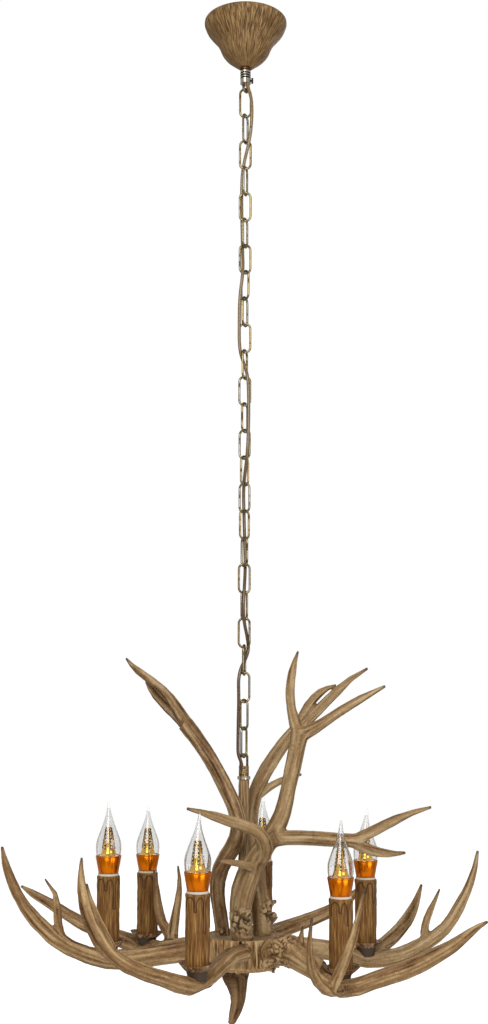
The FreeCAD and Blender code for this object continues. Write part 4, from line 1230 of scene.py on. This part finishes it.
# ---------------------------------------------------------------- cord
@dataclass
class Cord:
    """The supply cord woven through the chain, in pieces split at the chain's end joints.

    Attributes:
        diameter: outer diameter.
        route: (right, back, below the ceiling) points.
        sides: points round it.
    """

    diameter: float = 5.0
    route: tuple[tuple[float, float, float], ...] = (
        (2.8, -3.9, 93.5), (4.2, -5.2, 105), (9.2, -7.4, 121), (10.2, -7.4, 148), (7.2, -7, 184),
        (-4.4, 7.2, 225), (-5.6, 7.4, 262), (-5, 6.6, 306), (-4, 6.4, 347), (-2.6, -7, 389),
        (-8, -6.4, 427), (-8.6, -4.8, 466), (-8.4, -5.6, 509), (-0.6, 0.2, 531), (5, -5.9, 551),
        (6.2, -6.2, 590), (5.6, -8, 634), (4, -9, 670), (-1.8, 9, 712), (-0.8, 10, 756),
        (0.5, 9.8, 798), (1.6, 9.8, 836), (-0.2, -11.6, 873), (-1.8, -12.6, 912), (5.8, 7.4, 946),
        (6.6, 6.6, 965), (-8.6, -7.8, 994), (-7.6, -7.6, 1032), (-8.4, -5.4, 1068),
        (-8.8, -4.8, 1100), (-8.6, -5.4, 1115), (-3, -5.2, 1127), (-2.4, -4.4, 1138),
    )
    sides: int = 20

    def build(self) -> None:
        """Build the five pieces, top to bottom; two pieces join halfway between two points."""
        points = [Vector((x, y, -z)) * MM for x, y, z in self.route]
        spans = (
            ("cord_upper_end", None, 2, Thread.GRIP_TO_LINK, -0.100, -0.122, "cord_top"),
            ("cord_upper_bend", 2, 3, Thread.LINK_TO_CHAIN, -0.139, -0.157, "cord_top"),
            ("cord_woven", 3, 27, Thread.CHAIN, 0, 0, "cord_run"),
            ("cord_lower_bend", 27, 28, Thread.CHAIN_TO_LINK, -1.066, -1.083, "cord_end"),
            ("cord_lower_end", 28, None, Thread.LINK_TO_STEM, -1.108, -1.128, "cord_end"),
        )
        for name, start, end, bodies, high, low, node in spans:
            line = points[0 if start is None else start + 1:len(points) if end is None else end + 1]
            if start is not None:
                line = [(points[start] + points[start + 1]) / 2] + line
            if end is not None:
                line = line + [(points[end] + points[end + 1]) / 2]
            self.piece(name, line, bodies.value, node)

    def piece(self, name: str, line: list[Vector], bodies: tuple[str, ...],
              node: str) -> None:
        """Build one cord piece.

        Args:
            name: the object's name.
            line: its control points.
            bodies: the body it rides on, or the two that it lies between, in which case it is attached to
                neither.
            node: the CAD node it stands for.
        """
        path = self.centreline(line)
        obj = link_object(self.sheath(name, path), name)
        obj.data.materials.append(CORD.material())
        if len(bodies) == 1:
            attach(obj, bodies[0])
        else:
            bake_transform(obj)
        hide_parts(node)

    @staticmethod
    def centreline(line: list[Vector]) -> list[Vector]:
        """Points along the smooth line that the control points pull."""
        curve = bpy.data.curves.new("cord_line", "CURVE")
        curve.dimensions = "3D"
        spline = curve.splines.new("NURBS")
        spline.points.add(len(line) - 1)
        for target, source in zip(spline.points, line):
            target.co = (*source, 1.0)
        spline.order_u = 3
        spline.use_endpoint_u = True
        spline.resolution_u = 10
        obj = link_object(curve, "cord_line")
        path = [v.co.copy() for v in baked(obj).vertices]
        bpy.data.objects.remove(obj)
        return path

    def sheath(self, name: str, path: list[Vector]) -> Mesh:
        """Round tube along the path, with a UV map in metres: round it and along it."""
        sides = self.sides
        points = []
        lengths = []
        side = Vector((1, 0, 0))
        for i, here in enumerate(path):
            before = path[max(i - 1, 0)]
            ahead = (path[min(i + 1, len(path) - 1)] - before).normalized()
            side = (side - ahead * side.dot(ahead)).normalized()
            other = ahead.cross(side)
            lengths.append((lengths[-1] if lengths else 0.0) + (here - before).length)
            for angle in (TURN * k / sides for k in range(sides)):
                out = side * math.cos(angle) + other * math.sin(angle)
                points.append(here + out * self.diameter / 2 * MM)
        count = len(points)
        mesh = plain_mesh(name, points, grid(len(path), sides) + [tuple(reversed(range(sides))),
                                                                  tuple(range(count - sides, count))])
        layer = mesh.uv_layers.new(name="along")
        step = self.diameter * math.pi * MM / sides
        for face in mesh.polygons:
            columns = [n % sides for n in face.vertices]
            wrapped = {0, sides - 1} <= set(columns)
            for loop, number, column in zip(face.loop_indices, face.vertices, columns):
                turn = sides if wrapped and column == 0 else column
                layer.data[loop].uv = (turn * step, lengths[number // sides])
        shade(mesh)
        return mesh


# ---------------------------------------------------------------- candles and bulbs
@dataclass
class Sleeve:
    """One candle sleeve: streaked bark under a coat of wax that is arched and runs down in drips.

    Attributes:
        name: the candle's name.
        seed: fixed seed of its drips and grain.
        radius: radius of the bark.
        bore: bore radius.
        wax: thickness of the wax.
        arches: how many arches the wax has round the sleeve.
        rise: height of an arch.
        crown: depth of the plain band over the arches.
        drip: half the width of a drip.
        rows: rows of points.
        columns: points in a row.
    """

    name: str
    seed: int
    radius: float = 16.4
    bore: float = 14.2
    wax: float = 0.5
    arches: int = 7
    rise: float = 12.0
    crown: float = 4.2
    drip: float = 1.7
    rows: int = 150
    columns: int = 176

    def build(self) -> None:
        """Build and dress the sleeve."""
        node = "sleeve_" + self.name
        dress(link_object(self.tube(node), node + "_waxed"), SLEEVE, "chandelier", "sleeve_resin", node)

    def coat(self, angle: np.ndarray, below: np.ndarray) -> np.ndarray:
        """How much of the wax covers each place, 0 to 1.

        Args:
            angle: angle round the sleeve.
            below: depth under the top, in millimetres.

        Returns:
            The cover, with soft edges.
        """
        rng = np.random.default_rng(self.seed)
        pitch = TURN / self.arches
        arch = pitch * self.radius / 2 - self.drip
        reach = np.full(angle.shape, self.crown)
        for number in range(self.arches):
            # Every third drip runs far down.
            long = self.crown + self.rise + (rng.uniform(1, 7) if number % 3 else rng.uniform(12, 36))
            middle = pitch * (number + rng.uniform(-0.12, 0.12))
            away = np.abs((angle - middle + math.pi) % TURN - math.pi) * self.radius
            bulb = long - self.drip + np.sqrt(np.clip(self.drip ** 2 - away ** 2, 0, None))
            reach = np.where(away < self.drip, np.maximum(reach, bulb), reach)
            share = 1 - np.clip(away - self.drip, 0, arch) / arch
            curve = 1 - np.sqrt(np.clip(1 - share ** 2, 0, None))
            drop = self.crown + self.rise * rng.uniform(0.7, 1.0) * curve
            inside = (away >= self.drip) & (away < self.drip + arch)
            reach = np.where(inside, np.maximum(reach, drop), reach)
        cover = np.clip((reach - below) / 1.2 + 0.5, 0, 1)
        for _ in range(2):
            cover = (np.roll(cover, 1, 1) + 2 * cover + np.roll(cover, -1, 1)) / 4
        return cover

    def tube(self, node: str) -> Mesh:
        """The wall, with its bore; the wax's outline is kept as the edge attribute."""
        low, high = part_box(node)
        height = (high.z - low.z) / MM
        angles = np.linspace(0, TURN, self.columns, endpoint=False)
        level, angle = np.meshgrid(np.linspace(0, height, self.rows), angles, indexing="ij")
        below = height - level
        cover = self.coat(angle, below)
        line = np.hypot(np.gradient(cover, axis=0), (np.roll(cover, -1, 1) - np.roll(cover, 1, 1)) / 2)
        line = np.clip(line * 3.2, 0, 1) * (below > 1.5)
        spots = np.stack((np.cos(angle) * 0.016, np.sin(angle) * 0.016, level * MM), -1).reshape(-1, 3)
        grooves = wavy(spots * (1, 1, 0.12), 0.0055, self.seed + 1, 40).reshape(level.shape)
        knots = wavy(spots, 0.016, self.seed + 2).reshape(level.shape)
        outer = self.radius - 0.25 + 0.3 * grooves * (1 - 0.6 * cover) + 0.2 * knots + self.wax * cover
        outer = np.clip(outer - 0.25 * line, self.bore + 0.6, self.radius + self.wax - 0.1)
        outer -= 1.0 * np.clip(1 - below / 1.4, 0, 1) ** 2
        marks = np.clip(0.85 * line + 0.5 * np.clip(-grooves - 1.2, 0, 1) * (1 - cover), 0, 1)
        # The wall's section is one loop: up the outside and down the bore.
        reach = np.concatenate((outer, np.full(outer.shape, self.bore)))
        level = np.concatenate((level, level[::-1]))
        x, y = (np.tile(way(angle), (2, 1)) for way in (np.cos, np.sin))
        places = np.stack((x * reach, y * reach, level), -1).reshape(-1, 3) * MM + foot_of(node)
        turn = np.stack((x, y, level * MM + self.seed), -1).reshape(-1, 3)
        return mesh_from(node, places, grid(2 * self.rows, self.columns, True), round=turn,
                         edge=np.concatenate((marks, marks * 0)).ravel())


@dataclass
class Bulb:
    """Flame-tip lamp: threaded cap, orange collar, gold light carrier and clear glass.

    Attributes:
        name: the candle's name.
        turn: how far the carrier is turned, in degrees.
        towards: where the glass tip leans to, in degrees from the right.
        collar: collar height.
        foot: collar foot radius.
        crown: collar top radius.
        column: carrier radius at its foot and top.
        cone: height of the cone under the carrier.
        top: height of the carrier over the collar.
        cap: length of the screw cap.
        glass: (radius, height over the collar) of the glass.
        wall: glass thickness.
        lean: how far the tip leans.
        lean_from: height over the collar where the lean starts.
        strips: how many strips of lamp chips it has.
        chips: how many chips a strip has.
    """

    name: str
    turn: float
    towards: float
    collar: float = 25.0
    foot: float = 14.3
    crown: float = 18.4
    column: tuple[float, float] = (9.2, 4.0)
    cone: float = 8.0
    top: float = 40.6
    cap: float = 24.0
    glass: tuple[tuple[float, float], ...] = ((17.2, 0.05), (18.0, 10), (17.3, 19), (14.4, 28.5), (10.8, 38),
                                              (7.6, 47), (5.1, 55), (3.2, 63), (2.0, 70), (1.3, 75.6))
    wall: float = 1.0
    lean: float = 3.0
    lean_from: float = 30.0
    strips: int = 6
    chips: int = 6

    def build(self) -> None:
        """Build and dress the bulb's pieces."""
        body = "bulb_" + self.name
        node = "bulb_base_" + self.name
        foot = Vector(foot_of(node, self.cap))
        for part, mesh, finish in (("cap", self.thread(foot), NICKEL), ("collar", self.shoulder(foot), ORANGE),
                                   ("carrier", self.carrier(foot), GOLD),
                                   ("strips", self.blocks(foot, STRIP), STRIP),
                                   ("chips", self.blocks(foot, CHIP), CHIP)):
            dress(link_object(mesh, f"bulb_{part}_{self.name}"), finish, body, "bulb_collar", node)
        glass = link_object(self.envelope(foot), "bulb_envelope_" + self.name)
        dress(glass, GLASS, body, "bulb_glass", "bulb_glass_" + self.name)

    def thread(self, foot: Vector) -> Mesh:
        """Screw cap with a rolled thread and a contact at its end."""
        rolls = tuple((6.5 + 0.38 * math.cos(TURN * k / 6.6), -2.0 - 17.0 * k / 40) for k in range(41))
        profile = ((0.0, 0.5), (6.8, 0.5), (6.8, -1.4)) + rolls
        profile += ((4.6, -21.0), (2.6, -22.6), (2.4, -self.cap), (0.0, -self.cap))
        return lathe("bulb_cap", profile, foot, 32)

    def shoulder(self, foot: Vector) -> Mesh:
        """Tapered collar with a dark seam under a rolled lip round the glass."""
        low, high, tall = self.foot, self.crown, self.collar
        profile = ((0.0, 0.3), (low - 0.8, 0.0), (low, 0.6), ((low + high) / 2, tall / 2),
                   (high - 0.25, tall - 2.6), (high - 0.5, tall - 2.2), (high - 0.1, tall - 1.8),
                   (high, tall - 0.6), (high - 0.4, tall), (high - 1.1, tall), (high - 1.3, tall - 0.8),
                   (0.0, tall - 0.8))
        return lathe("bulb_collar", profile, foot, 96)

    def carrier(self, foot: Vector) -> Mesh:
        """Gold bell and column that carry the strips of chips."""
        base = self.collar - 0.7
        end = self.collar + self.top
        wide, narrow = self.column
        bell = rounded_profile(((self.foot - 1.0, base), (self.foot - 1.6, base + 1.2), (10.6, base + 4.6),
                                (wide + 0.6, base + self.cone), (wide, base + self.cone + 1.0)), 4)
        return lathe("bulb_carrier", ((0.0, base),) + bell + ((narrow, end), (0.0, end + 0.3)), foot, 48)

    def blocks(self, foot: Vector, finish: Finish) -> Mesh:
        """The dark strips, or the chips on them, each set by geometry nodes at its place and turn."""
        wide, narrow = self.column
        low = self.collar + self.cone + 1.0
        tall = self.collar + self.top - low
        lean = math.atan2(wide - narrow, tall)
        # Where along the column, how far out of it, and the block's size: deep, wide and tall.
        shares, out, size = [0.5], 0.05, Vector((0.8, 3.4, tall - 0.8))
        if finish is CHIP:
            shares = [(k + 0.6) / (self.chips + 0.2) for k in range(self.chips)]
            out, size = 0.35, Vector((0.7, 2.0, 2.7))
        places = []
        turns = []
        for number in range(self.strips):
            angle = math.radians(self.turn + 360 * number / self.strips)
            for share in shares:
                reach = wide + (narrow - wide) * share + out
                places.append(foot + Vector((reach * math.cos(angle), reach * math.sin(angle),
                                             low + tall * share)) * MM)
                turns.append((0, -lean, angle))
        tree = placing_tree("lamp_blocks", {"Size": "NodeSocketVector"}, self.block)
        return placed("bulb_blocks", places, turns, tree, finish, Size=size * MM)

    @staticmethod
    def block(tree: NodeTree, given: object) -> NodeSocket:
        """Node of one small block."""
        return add_node(tree, "GeometryNodeMeshCube", {"Size": given["Size"]}).outputs["Mesh"]

    def envelope(self, foot: Vector) -> Mesh:
        """Clear flame-shaped glass with its wall, closed at the leaning tip."""
        outer = rounded_profile(self.glass, 6)
        inner = [(radius - self.wall, level) for radius, level in outer if radius > 2 * self.wall + 0.3]
        inner.append((0.0, inner[-1][1] + 1.5))
        closed = tuple(reversed(inner)) + outer + ((0.7, 75.9), (0.0, 76.0))
        way = math.radians(self.towards)
        return lathe("bulb_envelope", tuple((r, h + self.collar) for r, h in closed), foot, 64,
                     (self.lean * math.cos(way), self.lean * math.sin(way)), self.collar + self.lean_from)


@dataclass
class Candles:
    """The six candles with their cups, lampholders and bulbs; each bulb stands as it was screwed in.

    Attributes:
        turns: each bulb's turn, in degrees.
        towards: where each bulb's tip leans to, in degrees from the right.
    """

    turns: tuple[float, ...] = (0, 0, 38, 5, 27, 0)
    towards: tuple[float, ...] = (105, 84, 40, 50, 70, 15)

    def build(self) -> None:
        """Build every candle."""
        dress_nodes(CUP, "candle_cups")
        dress_nodes(IVORY, "lampholders")
        for number, (name, turn, towards) in enumerate(zip(CANDLE_NAMES, self.turns, self.towards)):
            Sleeve(name, 100 + 7 * number).build()
            Bulb(name, turn, towards).build()


# ---------------------------------------------------------------- studio
@dataclass
class Studio:
    """Pale floor, soft lights and the camera at the photograph's viewing angle.

    Attributes:
        distance: camera distance in front of the hanging axis, in metres.
        level: camera height from the ceiling plane, in metres.
        pitch: how far the camera looks up, in degrees.
        lens: focal length for a 36 mm sensor height.
        shift: frame shift up, as a share of the frame's height.
        roll: turn of the camera about its own line of sight, in degrees.
        floor_level: the floor's height from the ceiling plane, in metres.
        floor_side: half the floor's side, in metres.
        lamps: name, place in metres, size in metres and power in watts of each lamp.
    """

    distance: float = 1.924
    level: float = -1.0476
    pitch: float = 3.6
    lens: float = 45.6
    shift: float = 0.1127
    roll: float = -0.14
    floor_level: float = -2.35
    floor_side: float = 9.0
    lamps: tuple[tuple[str, tuple[float, float, float], float, float], ...] = (
        ("key", (-0.6, -2.4, 0.2), 1.5, 48.0), ("fill", (1.7, -1.9, -0.7), 1.5, 25.0),
        ("back", (0.3, 2.0, 0.4), 1.8, 14.0))

    def build(self) -> None:
        """Set up camera, world, floor and lights."""
        self.camera()
        self.world()
        self.floor()
        for name, place, size, power in self.lamps:
            self.lamp(name, Vector(place), size, power)
        bpy.context.scene.view_settings.view_transform = "Standard"

    def camera(self) -> None:
        """Camera on the object's front, level with its lower half."""
        data = bpy.data.cameras.new("photo_camera")
        data.sensor_fit = "AUTO"
        data.sensor_width = 36.0
        data.lens = self.lens
        data.shift_y = self.shift
        camera = link_object(data, "photo_camera")
        camera.location = (0.0, -self.distance, self.level)
        camera.rotation_euler = (math.radians(90 + self.pitch), math.radians(self.roll), 0.0)
        bpy.context.scene.camera = camera

    def world(self) -> None:
        """Even pale light; the background shows white to the camera and through glass."""
        world = bpy.data.worlds.new("studio")
        bpy.context.scene.world = world
        world.use_nodes = True
        tree = world.node_tree
        tree.nodes.clear()
        soft, white = (add_node(tree, "ShaderNodeBackground", {"Color": (1, 1, 1, 1), "Strength": strength})
                       for strength in (0.40, 1.0))
        self.show(tree, soft, white, "ShaderNodeOutputWorld")

    @staticmethod
    def show(tree: NodeTree, plain: Node, seen: Node, output: str) -> None:
        """Give rays from the camera and through glass one shader, and all others the plain one."""
        path = add_node(tree, "ShaderNodeLightPath").outputs
        sees = calc(tree, "MAXIMUM", path["Is Camera Ray"], path["Is Transmission Ray"])
        mix = add_node(tree, "ShaderNodeMixShader", {0: sees, 1: plain.outputs[0], 2: seen.outputs[0]})
        add_node(tree, output, {"Surface": mix.outputs[0]})

    def floor(self) -> None:
        """Plain pale floor that keeps the object's shadow."""
        side = self.floor_side
        corners = [(x * side, y * side, self.floor_level) for x, y in ((-1, -1), (1, -1), (1, 1), (-1, 1))]
        obj = link_object(mesh_from("studio_floor", corners, [(0, 1, 2, 3)], False), "studio_floor")
        material = new_material("matt_white_floor")
        tree = material.node_tree
        plain = add_node(tree, "ShaderNodeBsdfDiffuse", {"Color": (0.85, 0.85, 0.85, 1)})
        white = add_node(tree, "ShaderNodeEmission", {"Color": (1, 1, 1, 1), "Strength": 0.85})
        both = add_node(tree, "ShaderNodeAddShader", {0: plain.outputs[0], 1: white.outputs[0]})
        self.show(tree, plain, both, "ShaderNodeOutputMaterial")
        obj.data.materials.append(material)

    @staticmethod
    def lamp(name: str, place: Vector, size: float, power: float) -> None:
        """Soft square lamp aimed at the antlers."""
        data = bpy.data.lights.new(name, "AREA")
        data.size = size
        data.energy = power
        lamp = link_object(data, name)
        lamp.location = place
        lamp.rotation_euler = (Vector((0, 0, -1.2)) - place).to_track_quat("-Z", "Y").to_euler()


def main() -> None:
    """Build the whole chandelier and its studio."""
    logging.basicConfig(level=logging.INFO, format="%(name)s %(message)s")
    for part in (Studio(), Cord(), CeilingEnd(), Chain(), Stem(), Antlers(), Candles()):
        part.build()
        LOG.info("%s is built", type(part).__name__)


if __name__ == "__main__":
    main()
